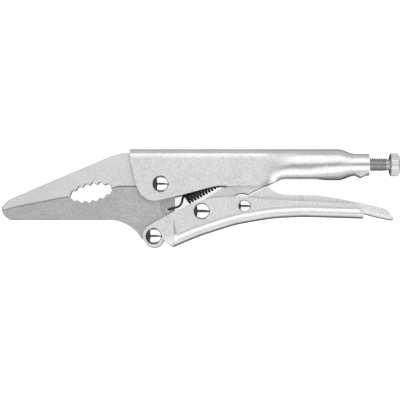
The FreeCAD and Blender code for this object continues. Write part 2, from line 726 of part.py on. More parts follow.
def make_rivet(label, place, pin, head, grip, height):
    """A rivet along Z with a domed head at each end: grip is the length between its heads."""
    body = new_body(label)
    body.setExpression("Placement.Base.x", formula(place[0]))
    body.setExpression("Placement.Base.y", formula(place[1]))
    half = scaled(grip, 0.5)
    top = half + height
    dome = size(head) * 1.6
    sketch = new_sketch(body, "rivet_sketch", "XZ_Plane")
    flat = ["head_flat"]
    if size(head) < 3:
        flat = [("head_flat", 0.6)]

    add_outline(sketch, [
        ([0], scaled(top, -1)),
        (flat, scaled(top, -1), [dome]),
        ([head], scaled(half + ["head_edge"], -1)),
        ([head], scaled(half, -1)),
        ([pin], scaled(half, -1)),
        ([pin], half),
        ([head], half),
        ([head], half + ["head_edge"], [dome]),
        (flat, top),
        ([0], top),
    ])
    turned = body.newObject("PartDesign::Revolution", "turned")
    turned.Profile = sketch
    turned.ReferenceAxis = (sketch, ["V_Axis"])
    turned.Angle = 360
    doc.recompute()
    return body


def make_rivets():
    ear_height = ["tube_radius", ("jaw_thick", -0.5), "-side_play", "-sheet"]
    body_height = ["tube_radius", ("lower_width", -0.5)]
    make_rivet("jaw_pivot_rivet", JAW_PIN, "pin_radius", "head_radius", CHANNEL_WIDTH, ear_height)
    make_rivet("lower_jaw_rivet", SWING_PIN, "pin_radius", "head_radius", CHANNEL_WIDTH, ear_height)
    make_rivet("link_rivet", LINK_PIN, "pin_radius", "head_radius", ["lower_width"], body_height)
    make_rivet("lever_rivet", LEVER_PIN, "small_pin_radius", "small_head_radius",
               ["lower_width"], ["small_head_height"])


# ---------------------------------------------------------------- spring

def wire_along(points):
    """A round wire that follows straight runs, with a ball at each bend."""
    radius = size("wire_radius")
    runs = []
    for start, end in zip(points, points[1:]):
        along = end - start
        runs.append(Part.makeCylinder(radius, along.Length, start, along))
    for bend in points[1:-1]:
        runs.append(Part.makeSphere(radius, bend))
    return runs


def make_spring():
    """A closed tension coil from the tab of the moving jaw to the tab in the upper handle."""
    start = Vector(size("coil_start_x"), size("coil_start_y"), 0)
    anchor = Vector(size("anchor_x"), size("anchor_y"), 0)
    axis = Vector(anchor - start).normalize()
    turn = FreeCAD.Rotation(Vector(0, 0, 1), axis)
    reach = size("coil_radius")
    length = size("coil_pitch") * COIL_TURNS
    helix = Part.makeHelix(size("coil_pitch"), length, reach)
    wire = Part.Wire(helix.Edges)
    first = wire.Vertexes[0].Point
    section = Part.Wire([Part.makeCircle(size("wire_radius"), first, Vector(0, 1, 0))])
    coil = Part.Wire(wire).makePipeShell([section], True, True)
    coil.Placement = FreeCAD.Placement(start, turn)
    front = start + turn.multVec(Vector(reach, 0, 0))
    rear = start + turn.multVec(Vector(reach, 0, length))
    side = size("tab_thick") / 2 + size("wire_radius") + 0.15
    hook_x = size("jaw_pin_x") + 3.2
    hook_y = size("jaw_pin_y") - 10.7
    hook = [
        front,
        Vector(start.x - 1.2, start.y - 2.2, side),
        Vector(hook_x + 1.6, hook_y + 0.1, side),
        Vector(hook_x, hook_y, side),
        Vector(hook_x, hook_y, -side),
        Vector(hook_x + 1.2, hook_y + 0.1, -side),
    ]
    tail = [
        rear,
        Vector(anchor.x - 1.6, anchor.y - 0.2, 0),
        Vector(anchor.x + 1.6, anchor.y, 0),
        Vector(anchor.x + 1.6, anchor.y - 1.2, 0),
    ]
    shape = coil.fuse(wire_along(hook) + wire_along(tail))
    spring = doc.addObject("Part::Feature", "spring")
    spring.Label = "spring"
    spring.Shape = Part.Solid(shape.Solids[0]) if shape.Solids else shape
    spring.Placement = FreeCAD.Placement(Vector(0, 0, size("tube_radius")), FreeCAD.Rotation())
    return spring


# ---------------------------------------------------------------- build, test and write

def check_document():
    for item in doc.Objects:
        if "Invalid" in item.State or "Error" in item.State:
            raise RuntimeError("%s failed: %s" % (item.Name, item.State))


def write_parts():
    os.makedirs("parts", exist_ok=True)
    pieces = [item for item in doc.Objects
              if item.TypeId == "PartDesign::Body" or item.Name == "spring"]
    for piece in pieces:
        shape = piece.Shape
        if shape.isNull() or not shape.isValid() or len(shape.Solids) != 1:
            raise RuntimeError("%s is not one valid solid" % piece.Label)
        shape.exportStep("parts/%s.step" % piece.Label)
        print("%-18s %9.1f mm3" % (piece.Label, shape.Volume))


make_fixed_jaw()
make_moving_jaw()
make_upper_handle()
make_lower_handle()
make_release_lever()
make_toggle_link()
make_screw_shank()
make_screw_knob()
make_rivets()
make_spring()
doc.recompute()
check_document()
write_parts()
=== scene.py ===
"""Long-nose locking pliers in plated steel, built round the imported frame.

X runs from the jaw tips to the screw knob, Y is the way that the handles open, and Z is the thickness.
Outline corners are written in millimetres from the rivet or end that the piece turns on or is made
round, with the radius of a rounded corner after them. Every mesh is in metres, in the frame's axes.
"""

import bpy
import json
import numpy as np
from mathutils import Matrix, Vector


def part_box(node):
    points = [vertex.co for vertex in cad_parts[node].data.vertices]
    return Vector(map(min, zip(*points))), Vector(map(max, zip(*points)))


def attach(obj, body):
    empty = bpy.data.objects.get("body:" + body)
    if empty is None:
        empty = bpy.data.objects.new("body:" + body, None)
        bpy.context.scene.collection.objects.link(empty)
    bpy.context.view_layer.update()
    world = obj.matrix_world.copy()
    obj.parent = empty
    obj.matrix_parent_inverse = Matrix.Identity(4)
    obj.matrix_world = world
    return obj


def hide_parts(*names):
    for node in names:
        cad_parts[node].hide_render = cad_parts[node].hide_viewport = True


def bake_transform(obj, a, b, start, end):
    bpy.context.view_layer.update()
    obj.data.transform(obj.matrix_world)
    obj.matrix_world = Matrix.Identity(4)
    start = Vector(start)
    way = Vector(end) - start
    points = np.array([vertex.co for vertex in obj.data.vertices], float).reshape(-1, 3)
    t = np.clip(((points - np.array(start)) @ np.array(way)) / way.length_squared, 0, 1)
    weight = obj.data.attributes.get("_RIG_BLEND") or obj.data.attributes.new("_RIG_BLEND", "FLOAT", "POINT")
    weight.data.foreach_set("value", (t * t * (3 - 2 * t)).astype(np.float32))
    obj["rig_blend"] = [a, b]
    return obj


bl_info = {
    "name": "Locking pliers",
    "version": (1, 0, 0),
    "blender": (4, 5, 0),
    "location": "View3D > Sidebar > Pliers",
    "description": "Builds long-nose locking pliers piece by piece",
    "category": "Object",
}

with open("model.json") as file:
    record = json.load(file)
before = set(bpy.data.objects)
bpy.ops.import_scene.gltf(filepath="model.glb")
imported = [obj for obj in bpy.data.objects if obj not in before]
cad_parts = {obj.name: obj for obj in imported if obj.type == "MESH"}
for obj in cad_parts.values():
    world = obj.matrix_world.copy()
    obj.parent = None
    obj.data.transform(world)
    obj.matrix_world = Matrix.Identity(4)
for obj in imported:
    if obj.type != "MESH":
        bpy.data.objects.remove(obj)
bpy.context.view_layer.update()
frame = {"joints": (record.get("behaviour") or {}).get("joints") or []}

import json
import math

import bmesh
import bpy
from bpy.props import FloatProperty, FloatVectorProperty, PointerProperty
from mathutils import Matrix, Vector

MM = 0.001


def joint_place(name):
    """Where a hinge of the frame is, in metres."""
    return Vector(next(joint["pos_m"] for joint in frame["joints"] if joint["name"] == name))


JAW_PIN = joint_place("jaw_pivot")
SWING_PIN = joint_place("handle_pivot")
LINK_PIN = joint_place("link_pivot")
LEVER_PIN = joint_place("lever_pivot")
KNOB_PLACE = joint_place("knob_turn")
MIDDLE = JAW_PIN.z                              # every piece is made the same on both sides of this height
AXIS_Y = KNOB_PLACE.y                           # the adjusting screw, and the tube and neck round it
HANDLE_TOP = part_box("upper_handle")[1].y
NECK_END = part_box("upper_handle")[1].x
HANDLE_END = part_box("lower_handle")[1].x        # rear end of the lower handle
LEVER_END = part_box("release_lever")[1].x
SCREW_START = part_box("screw_shank")[0].x
KNOB_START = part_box("screw_knob")[0].x
KNOB_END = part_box("screw_knob")[1].x

# Widths across the tool, in metres.
JAW_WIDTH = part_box("fixed_jaw")[1].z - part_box("fixed_jaw")[0].z
MOVING_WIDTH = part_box("moving_jaw")[1].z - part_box("moving_jaw")[0].z
LINK_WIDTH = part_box("toggle_link")[1].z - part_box("toggle_link")[0].z
LEVER_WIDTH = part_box("release_lever")[1].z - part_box("release_lever")[0].z
LOWER_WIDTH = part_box("lower_handle")[1].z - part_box("lower_handle")[0].z
TIP_WIDTH = 4.4 * MM                            # both jaws at the tips
EAR_WIDTH = 10.0 * MM                           # the walls of the upper handle, and the lower ears

# The mouth of the jaws, in millimetres.
GRIP_ANGLE = math.radians(11.4)
GRIP_PLACE = JAW_PIN + Vector((-29.9, -3.5, 0)) * MM     # middle of the toothed oval
GRIP_HALF_LENGTH = 9.4
GRIP_HALF_HEIGHT = 4.3
TOOTH_STEPS = 12                                # roots and tips along one side of the oval
TOOTH_DEPTH = 1.15
SERRATION_START = 3.0                           # from the tips
SERRATION_PITCH = 1.0
SERRATION_DEPTH = 0.35
SERRATION_COUNT = 23
JAW_GAP = 0.05
TIP_DROP = 11.15                                # from the jaw pivot down to the tips
BACK_DROP = 0.9                                 # from the jaw pivot down to the back of the mouth

# Rivets and the play in their holes, in millimetres.
PIN_RADIUS = 2.3
SMALL_PIN_RADIUS = 1.7
HOLE_PLAY = 0.1

# The step back of the mouth at both flat sides, in metres.
RELIEF_WIDTH = 0.28 * MM
RELIEF_DEPTH = 1.3 * MM
RELIEF_SLOPE = 0.1 * MM


# ---------------------------------------------------------------- outlines

def corners_from(place, corners):
    """Corners in metres, from rows of x, y and perhaps a radius that are in millimetres from a place."""
    result = []
    for x, y, *radius in corners:
        result.append((place.x + x * MM, place.y + y * MM, radius[0] * MM if radius else 0.0))
    return result


def rounded(corners, steps=6):
    """The points of an outline, with an arc in place of each corner that has a radius."""
    points = []
    count = len(corners)
    for index, (x, y, radius) in enumerate(corners):
        corner = Vector((x, y))
        if not radius:
            points.append(corner)
            continue
        before = (Vector(corners[index - 1][:2]) - corner).normalized()
        after = (Vector(corners[(index + 1) % count][:2]) - corner).normalized()
        half_angle = before.angle(after) / 2
        reach = radius / math.tan(half_angle)
        middle = (before + after).normalized()
        centre = corner + middle * radius / math.sin(half_angle)
        start = corner + before * reach - centre
        turn = start.angle_signed(corner + after * reach - centre)
        for step in range(steps + 1):
            points.append(centre + turned(start, -turn * step / steps))
    return points


def turned(vector, angle):
    """A flat vector turned anticlockwise."""
    return Vector((vector.x * math.cos(angle) - vector.y * math.sin(angle),
                   vector.x * math.sin(angle) + vector.y * math.cos(angle)))


def arc(place, radius, start, end, steps=12):
    """Corners along an arc round a place, in metres, for a radius in millimetres and angles in degrees."""
    corners = []
    for step in range(steps + 1):
        angle = math.radians(start + (end - start) * step / steps)
        corners.append((place.x + radius * MM * math.cos(angle),
                        place.y + radius * MM * math.sin(angle), 0.0))
    return corners


def mouth_edge(side):
    """The working edge of a jaw from its tip to the back of the oval: side is 1 above it and -1 below."""
    tip = Vector((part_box("fixed_jaw")[0].x, JAW_PIN.y - TIP_DROP * MM))
    gap = JAW_GAP / 2 * side
    along = [(0.0, gap)]
    for tooth in range(SERRATION_COUNT):
        start = SERRATION_START + tooth * SERRATION_PITCH
        along.append((start, gap))
        along.append((start + SERRATION_PITCH * 0.5, gap + SERRATION_DEPTH))
    along.append((SERRATION_START + SERRATION_COUNT * SERRATION_PITCH, gap))
    points = [tip + turned(Vector(point) * MM, GRIP_ANGLE) for point in along]
    centre = GRIP_PLACE.to_2d()
    for step in range(TOOTH_STEPS + 1):
        share = 2 * step / TOOTH_STEPS - 1
        height = GRIP_HALF_HEIGHT * math.sqrt(1 - share * share)
        if step % 2 == 0 and 0 < step < TOOTH_STEPS:
            height -= TOOTH_DEPTH
        local = Vector((GRIP_HALF_LENGTH * share, side * max(height, JAW_GAP / 2)))
        points.append(centre + turned(local * MM, GRIP_ANGLE))
    return [(point.x, point.y, 0.0) for point in points]


# ---------------------------------------------------------------- meshes

def new_verts(made):
    """The vertices among what an operator made."""
    return [item for item in made["geom"] if isinstance(item, bmesh.types.BMVert)]


def open_ring(bm, x):
    """The open edges of a mesh that lie across it at x."""
    return [edge for edge in bm.edges
            if edge.is_boundary and all(abs(vert.co.x - x) < 1e-6 for vert in edge.verts)]


def slab(points, width, holes=()):
    """A flat outline pulled out to a width, the same on both sides of the middle of the tool."""
    bm = bmesh.new()
    low = MIDDLE - width / 2
    edges = []
    for loop in (points, *holes):
        verts = [bm.verts.new((x, y, low)) for x, y, *_ in loop]
        edges += [bm.edges.new((verts[index - 1], vert)) for index, vert in enumerate(verts)]
    if holes:
        bmesh.ops.triangle_fill(bm, edges=edges, use_beauty=True)
        bmesh.ops.dissolve_limit(bm, angle_limit=0.01, verts=[], edges=bm.edges[:])
    else:
        bmesh.ops.contextual_create(bm, geom=edges)
    made = bmesh.ops.extrude_face_region(bm, geom=bm.faces[:])
    bmesh.ops.translate(bm, verts=new_verts(made), vec=(0, 0, width))
    bmesh.ops.recalc_face_normals(bm, faces=bm.faces[:])
    return bm


def circle_points(place, radius, count=32):
    """A round loop of points for a hole, with its radius in millimetres."""
    return arc(place, radius, 0, 360 * (count - 1) / count, count - 1)


def rim_edges(bm, width, wanted):
    """The long edges round both flat sides of a slab, where wanted(middle of the edge) is true."""
    found = []
    for edge in bm.edges:
        heights = [vert.co.z - MIDDLE for vert in edge.verts]
        flat = abs(heights[0] - heights[1]) < 1e-6 and abs(abs(heights[0]) - width / 2) < 1e-6
        faces = edge.link_faces
        if flat and len(faces) == 2 and abs(faces[0].normal.dot(faces[1].normal)) < 0.5:
            if wanted((edge.verts[0].co + edge.verts[1].co) / 2):
                found.append(edge)
    return found


def round_off(bm, edges, radius, segments):
    """Rounds some edges of a mesh."""
    bmesh.ops.bevel(bm, geom=edges, offset=radius, offset_type="OFFSET", affect="EDGES",
                    segments=segments, profile=0.5, material=-1, clamp_overlap=True)


def cut_across(bm, place, normal):
    """A cut through the whole mesh that takes nothing away."""
    everything = bm.verts[:] + bm.edges[:] + bm.faces[:]
    bmesh.ops.bisect_plane(bm, geom=everything, plane_co=place, plane_no=normal, dist=1e-7)


def cut_off(bm, place, normal):
    """Takes away the part of a mesh on the side that the normal points to, and leaves it open there."""
    everything = bm.verts[:] + bm.edges[:] + bm.faces[:]
    bmesh.ops.bisect_plane(bm, geom=everything, plane_co=place, plane_no=normal, dist=1e-7, clear_outer=True)


def relieve_mouth(bm, width, side):
    """Sets the mouth back near both flat sides, so that a dark line shows where the jaws meet."""
    for up in (-1, 1):
        for lift, shift in ((RELIEF_SLOPE, RELIEF_WIDTH), (RELIEF_DEPTH - RELIEF_SLOPE, 0.0)):
            caps = [face for face in bm.faces if face.normal.z * up > 0.9]
            made = bmesh.ops.extrude_face_region(bm, geom=caps)
            bmesh.ops.delete(bm, geom=caps, context="FACES")
            for vert in new_verts(made):
                vert.co.z += up * lift
                if shift and on_mouth(vert.co):
                    vert.co.y += side * shift
    bmesh.ops.recalc_face_normals(bm, faces=bm.faces[:])


def on_mouth(point):
    """Whether a point is on the line that the jaws meet on, outside the toothed oval."""
    line = mouth_height(point.x)
    beside_oval = abs(point.x - GRIP_PLACE.x) > (GRIP_HALF_LENGTH - 0.6) * MM
    return beside_oval and abs(point.y - line) < 0.7 * MM and point.x < JAW_PIN.x - 4 * MM


def mouth_height(x):
    """The height of the line that the jaws meet on."""
    slope = JAW_PIN.y - TIP_DROP * MM + (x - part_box("fixed_jaw")[0].x) * math.tan(GRIP_ANGLE)
    return min(slope, JAW_PIN.y - BACK_DROP * MM)


def narrow_to_tips(bm, width):
    """Thins a jaw evenly from the back of the oval to its tip."""
    back = GRIP_PLACE.x + GRIP_HALF_LENGTH * MM
    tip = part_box("fixed_jaw")[0].x
    cut_across(bm, (back, 0, 0), (1, 0, 0))
    for vert in bm.verts:
        share = min(max((back - vert.co.x) / (back - tip), 0.0), 1.0)
        scale = 1 + (TIP_WIDTH / width - 1) * share
        vert.co.z = MIDDLE + (vert.co.z - MIDDLE) * scale


def add_shells(target, other):
    """Adds the shells of another mesh to one."""
    carrier = bpy.data.meshes.new("carrier")
    other.to_mesh(carrier)
    other.free()
    target.from_mesh(carrier)
    bpy.data.meshes.remove(carrier)


def piece_from(bm, name, body, finish, nodes, sharp=35):
    """The finished object of a mesh, with its place in the frame and its finish."""
    mesh = bpy.data.meshes.new(name)
    for face in bm.faces:
        face.smooth = True
    bm.to_mesh(mesh)
    bm.free()
    mesh.set_sharp_from_angle(angle=math.radians(sharp))
    piece = bpy.data.objects.new(name, mesh)
    bpy.context.scene.collection.objects.link(piece)
    mesh.materials.append(finish)
    if body:
        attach(piece, body)
    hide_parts(*nodes)
    return piece


def soften(piece, width, segments=2, angle=50, edge_finish=None):
    """Breaks the sharp edges of a piece, in a finish of their own if one is given."""
    edge = piece.modifiers.new("broken edges", "BEVEL")
    if edge_finish:
        piece.data.materials.append(edge_finish)
        edge.material = 1
    edge.width = width
    edge.segments = segments
    edge.limit_method = "ANGLE"
    edge.angle_limit = math.radians(angle)
    edge.use_clamp_overlap = True
    edge.miter_outer = "MITER_ARC"
    weigh(piece)


def weigh(piece):
    """Lets the large faces of a piece set the shading where they meet small ones."""
    flats = piece.modifiers.new("flat faces", "WEIGHTED_NORMAL")
    flats.keep_sharp = True
    flats.weight = 60


def wall_inward(piece, thickness):
    """Gives a sheet its wall, on the inner side."""
    wall = piece.modifiers.new("sheet", "SOLIDIFY")
    wall.thickness = thickness
    wall.offset = -1
    wall.use_even_offset = True
    wall.use_quality_normals = True


def sheet_piece(bm, label, body, finish, thickness, edge):
    """The finished object of a folded sheet, with its wall and its sheared edges, which carry painted shade.
    """
    piece = piece_from(bm, label + "_sheet", body, finish, [label])
    wall_inward(piece, thickness)
    # The sheared edges get a near-black finish, which paints in the shade of the gaps along them.
    soften(piece, edge, edge_finish=sheared_edge_painted_shade_finish())


def folded_sheet(corners, width, bend_radius, is_bend, is_open, segments=6):
    """A sheet bent to a channel: both walls and the web between them, with no thickness yet."""
    bm = slab(rounded(corners), width)
    round_off(bm, rim_edges(bm, width, is_bend), bend_radius, segments)
    across = [face for face in bm.faces if abs(face.normal.z) < 0.01]
    bmesh.ops.delete(bm, geom=[face for face in across if is_open(face)], context="FACES")
    return bm


def pierce(bm, holes):
    """Makes round holes through the two flat walls of a bent sheet."""
    for up in (-1, 1):
        walls = [face for face in bm.faces if face.normal.z * up > 0.999]
        rim = [edge for edge in bm.edges if sum(face in walls for face in edge.link_faces) == 1]
        height = walls[0].verts[0].co.z
        bmesh.ops.delete(bm, geom=walls, context="FACES_ONLY")
        for loop in holes:
            verts = [bm.verts.new((x, y, height)) for x, y, *_ in loop]
            rim += [bm.edges.new(pair) for pair in zip(verts, verts[1:] + verts[:1])]
        made = bmesh.ops.triangle_fill(bm, use_beauty=True, edges=rim)["geom"]
        for face in (item for item in made if isinstance(item, bmesh.types.BMFace)):
            face.normal_update()
            if face.normal.z * up < 0:
                face.normal_flip()
        inner = [item for item in made if isinstance(item, bmesh.types.BMEdge)]
        bmesh.ops.dissolve_limit(bm, angle_limit=0.01, verts=[], edges=inner)


# ---------------------------------------------------------------- finishes

GRAIN_SCALE = 1250.0                            # blasted grains of about 0.8 mm
PATCH_SCALE = 90.0
BENT_ROUGHNESS = 0.33
BENT_RELIEF = 0.35                              # the share of the grain's relief that is left on a bend


def node(material, kind, inputs=(), **settings):
    """A new node, with its settings and with values or links for its inputs."""
    made = material.node_tree.nodes.new(kind)
    for name, value in settings.items():
        setattr(made, name, value)
    for name, value in dict(inputs).items():
        if isinstance(value, bpy.types.NodeSocket):
            material.node_tree.links.new(value, made.inputs[name])
        else:
            made.inputs[name].default_value = value
    return made


def calculated(material, operation, *values):
    """What a Math node makes of some numbers or sockets."""
    return node(material, "ShaderNodeMath", dict(enumerate(values)), operation=operation).outputs["Value"]


def ranged(material, value, first, last, low=0.0, high=1.0):
    """A value between first and last, stretched from low to high."""
    return node(material, "ShaderNodeMapRange", {
        "Value": value, "From Min": first, "From Max": last, "To Min": low,
        "To Max": high}).outputs["Result"]


def noise(material, place, scale, detail, roughness):
    """The level of a noise at a place."""
    return node(material, "ShaderNodeTexNoise", {"Vector": place, "Scale": scale, "Detail": detail,
                                                 "Roughness": roughness}).outputs["Fac"]


def steel_finish(name, colour, rough, grain=0.14, mottle=0.04, bump=0.3, bent=None, painted_reflection_band=0.0):
    """Plated steel: a blasted grain, soft patches, and a smoother skin where bent(material) says so.

    It can also paint a dark reflection into the plating, darker in spots, where the bend starts.
    """
    material = bpy.data.materials.new(name)
    material.use_nodes = True
    links = material.node_tree.links
    shader = material.node_tree.nodes["Principled BSDF"]
    shader.inputs["Metallic"].default_value = 1.0
    place = node(material, "ShaderNodeTexCoord").outputs["Object"]
    grains = noise(material, place, GRAIN_SCALE, 3.0, 0.7)
    patches = noise(material, place, PATCH_SCALE, 4.0, 0.55)
    shade = calculated(material, "MULTIPLY", ranged(material, grains, 0.3, 0.7, 1 - grain, 1 + grain),
                       ranged(material, patches, 0.3, 0.7, 1 - mottle, 1 + mottle))
    roughness = ranged(material, grains, 0.3, 0.7, rough * 0.9, rough * 1.1)
    strength = bump
    if bent:
        amount = bent(material, place)
        roughness = node(material, "ShaderNodeMix", {"Factor": amount, "A": roughness,
                                                     "B": BENT_ROUGHNESS}).outputs["Result"]
        strength = ranged(material, amount, 0.0, 1.0, bump, bump * BENT_RELIEF)
    # Painted reflection: the colour is made darker in spots where the bend starts, standing in for the dark
    # strip between the soft boxes.
    if painted_reflection_band:
        start = calculated(material, "MULTIPLY", amount, calculated(material, "SUBTRACT", 1.0, amount))
        painted_reflection_spots = calculated(material, "MULTIPLY", start, grains)
        left = calculated(material, "MULTIPLY_ADD", painted_reflection_spots, -8 * painted_reflection_band, 1.0)
        shade = calculated(material, "MULTIPLY", shade, left)
    tint = node(material, "ShaderNodeVectorMath", {0: tuple(colour)[:3], "Scale": shade},
                operation="SCALE")
    relief = node(material, "ShaderNodeBump", {"Height": grains, "Strength": strength,
                                               "Distance": 0.03 * MM})
    links.new(tint.outputs["Vector"], shader.inputs["Base Color"])
    links.new(roughness, shader.inputs["Roughness"])
    links.new(relief.outputs["Normal"], shader.inputs["Normal"])
    return material


def handle_finish(bent, painted_reflection_band=0.0):
    """The blasted plating of the folded sheets, with a painted dark reflection where the bend starts if one
    is asked for.
    """
    return steel_finish("blasted handle plating", finishes().plating, finishes().flat_roughness,
                        bent=bent, painted_reflection_band=painted_reflection_band)


def sheared_edge_painted_shade_finish():
    """The dull raw skin of the rounded edges of the sheet, painted near black as the shade of the gaps along
    them.
    """
    return steel_finish("sheared edge", finishes().sheared, 0.5, grain=0.1)


def away_from_flats(half_width, depth=0.5, start_x=-1.0):
    """How far the surface has left the flat walls of a channel, from its height, behind start_x."""
    def amount(material, place):
        parts = node(material, "ShaderNodeSeparateXYZ", {"Vector": place}).outputs
        reach = calculated(material, "ABSOLUTE", calculated(material, "SUBTRACT", parts["Z"], MIDDLE))
        share = ranged(material, reach, half_width - 0.03 * MM, half_width - depth * MM)
        behind = ranged(material, parts["X"], start_x - 0.2 * MM, start_x + 0.2 * MM)
        return calculated(material, "MULTIPLY", share, behind)
    return amount


def bend_or_tube(material, place):
    """The bent spine of the upper handle, and the rolled tube behind its flat walls."""
    spine = away_from_flats(EAR_WIDTH / 2)(material, place)
    parts = node(material, "ShaderNodeSeparateXYZ", {"Vector": place}).outputs
    slant = calculated(material, "SUBTRACT", parts["X"], calculated(material, "MULTIPLY", parts["Y"], 1.3))
    tube = ranged(material, slant, 12 * MM, 20 * MM)
    behind_walls = ranged(material, parts["X"], 22 * MM, 27 * MM)
    return calculated(material, "MAXIMUM", spine, calculated(material, "MULTIPLY", tube, behind_walls))


class PliersFinishes(bpy.types.PropertyGroup):
    """Colours and roughness of the pliers."""
    plating: FloatVectorProperty(name="Handle plating", description="Colour of the plated handles",
                                 subtype="COLOR", size=3, min=0, max=1, default=(0.93, 0.93, 0.93))
    fixed: FloatVectorProperty(name="Fixed jaw", description="Colour of the fixed jaw, link and knob",
                               subtype="COLOR", size=3, min=0, max=1, default=(0.92, 0.92, 0.92))
    moving: FloatVectorProperty(name="Moving jaw", description="Colour of the moving jaw",
                                subtype="COLOR", size=3, min=0, max=1, default=(0.66, 0.66, 0.66))
    # The sheared edges are dull raw steel, painted much darker as the shade of the gaps and shadows along the
    # sheet's edges.
    sheared: FloatVectorProperty(name="Sheared edges", description="Colour of the edges of the sheet",
                                 subtype="COLOR", size=3, min=0, max=1, default=(0.10, 0.10, 0.10))
    rivet: FloatVectorProperty(name="Rivets", description="Colour of the polished rivets",
                               subtype="COLOR", size=3, min=0, max=1, default=(0.90, 0.90, 0.90))
    screw: FloatVectorProperty(name="Screw", description="Colour of the adjusting screw",
                               subtype="COLOR", size=3, min=0, max=1, default=(0.55, 0.55, 0.56))
    wire: FloatVectorProperty(name="Spring", description="Colour of the spring wire",
                              subtype="COLOR", size=3, min=0, max=1, default=(0.10, 0.10, 0.105))
    flat_roughness: FloatProperty(name="Flat roughness", description="Roughness of the blasted flats",
                                  subtype="FACTOR", min=0, max=1, default=0.6)


class PliersSizes(bpy.types.PropertyGroup):
    """Sizes of the shown model that don't change the outside of the tool."""
    sheet: FloatProperty(name="Sheet", description="Sheet thickness of both handles",
                         unit="LENGTH", default=1.7 * MM)
    lever_sheet: FloatProperty(name="Lever sheet", description="Sheet thickness of the release lever",
                               unit="LENGTH", default=1.2 * MM)
    spine_radius: FloatProperty(name="Spine bend", description="Outer bend of the upper handle's spine",
                                unit="LENGTH", default=4.6 * MM)
    web_radius: FloatProperty(name="Web bend", description="Outer bend of the lower handle's web",
                              unit="LENGTH", default=5.0 * MM)
    lever_radius: FloatProperty(name="Lever bend", description="Outer bend of the release lever",
                                unit="LENGTH", default=2.2 * MM)
    jaw_edge: FloatProperty(name="Jaw edge", description="Rounding of the outer edges of the jaws",
                            unit="LENGTH", default=0.55 * MM)
    sheared_edge: FloatProperty(name="Sheared edge", description="Rounding of the edges of the sheet",
                                unit="LENGTH", default=0.28 * MM)
    wire_radius: FloatProperty(name="Wire", description="Radius of the spring wire",
                               unit="LENGTH", default=0.5 * MM)


def sizes():
    return bpy.context.scene.pliers_sizes


def finishes():
    return bpy.context.scene.pliers_finishes


# ---------------------------------------------------------------- jaws

SPRING_HOLE = JAW_PIN + Vector((3.2, -10.7, 0)) * MM     # in the tab of the moving jaw


class PLIERS_OT_fixed_jaw(bpy.types.Operator):
    """Make the fixed jaw, which is held between the walls of the upper handle"""
    bl_idname = "pliers.fixed_jaw"
    bl_label = "Fixed jaw"

    def execute(self, context):
        back = corners_from(JAW_PIN, [
            (-21.3, -1.7), (-17.5, -0.85), (-6.2, -0.85), (0, 6.5), (9, 6.5), (9, 13.5), (-16.3, 13.5, 9),
            (-21.1, 12.2), (-64.9, -6.4, 3.5), (-68.1, -9.55)])
        bm = slab(rounded(mouth_edge(1) + back), JAW_WIDTH - 2 * RELIEF_DEPTH)
        relieve_mouth(bm, JAW_WIDTH, 1)
        round_off(bm, rim_edges(bm, JAW_WIDTH, lambda middle: is_outer(middle, 1)), sizes().jaw_edge, 3)
        narrow_to_tips(bm, JAW_WIDTH)
        finish = steel_finish("blasted jaw plating", finishes().fixed, finishes().flat_roughness, grain=0.1)
        jaw = piece_from(bm, "fixed_jaw_forging", "root", finish, ["fixed_jaw"])
        weigh(jaw)
        return {"FINISHED"}


def is_outer(point, side):
    """Whether a point of a jaw is clear of the line that the jaws meet on."""
    line = mouth_height(point.x)
    clear = 5.5 if abs(point.x - GRIP_PLACE.x) < 9 * MM else 0.5
    return (point.y - line) * side > clear * MM


class PLIERS_OT_moving_jaw(bpy.types.Operator):
    """Make the moving jaw, with its pivot eye, its swing lug and the thin tab that holds the spring"""
    bl_idname = "pliers.moving_jaw"
    bl_label = "Moving jaw"

    def execute(self, context):
        hollow = JAW_PIN + Vector((-22.7, -31.8, 0)) * MM
        recess = JAW_PIN + Vector((3.9, -9.6, 0)) * MM
        tip = corners_from(JAW_PIN, [(-65.1, -15.2, 1.5), (-67.3, -13.3, 2.5)])
        back = mouth_edge(-1)
        back += corners_from(JAW_PIN, [(-21.3, -1.8), (-17.5, -0.95), (-5.6, -0.95)])
        back += arc(JAW_PIN, 5.6, 180, 0)
        back += corners_from(JAW_PIN, [(6.0, -4.0), (6.0, -5.9)])
        back += arc(recess, 4.25, 62, 283)
        back += corners_from(JAW_PIN, [(2.5, -20.0)])
        back += arc(SWING_PIN, 4.7, -10, -165)
        back += arc(hollow, 16.8, 31, 88)
        pins = [circle_points(place, PIN_RADIUS + HOLE_PLAY) for place in (JAW_PIN, SWING_PIN)]
        bm = slab(rounded(tip + back), MOVING_WIDTH - 2 * RELIEF_DEPTH, pins)
        relieve_mouth(bm, MOVING_WIDTH, -1)
        round_off(bm, rim_edges(bm, MOVING_WIDTH, lambda middle: is_outer(middle, -1)
                                and middle.x < SWING_PIN.x), sizes().jaw_edge, 3)
        narrow_to_tips(bm, MOVING_WIDTH)
        tab_width = 2.4 * MM
        hole = circle_points(SPRING_HOLE, 0.9, 16)
        tab = slab(rounded(corners_from(JAW_PIN, [
            (-1.5, -4.0), (6.0, -4.0, 1.5), (6.0, -11.2, 3.4), (5.0, -15.0), (-1.5, -15.0)])),
            tab_width, [hole])
        round_off(tab, rim_edges(tab, tab_width, lambda middle: middle.x > recess.x), 0.3 * MM, 2)
        add_shells(bm, tab)
        finish = steel_finish("dark blasted plating", finishes().moving, finishes().flat_roughness, grain=0.2)
        jaw = piece_from(bm, "moving_jaw_forging", "moving_jaw", finish, ["moving_jaw"])
        weigh(jaw)
        return {"FINISHED"}


# ---------------------------------------------------------------- upper handle

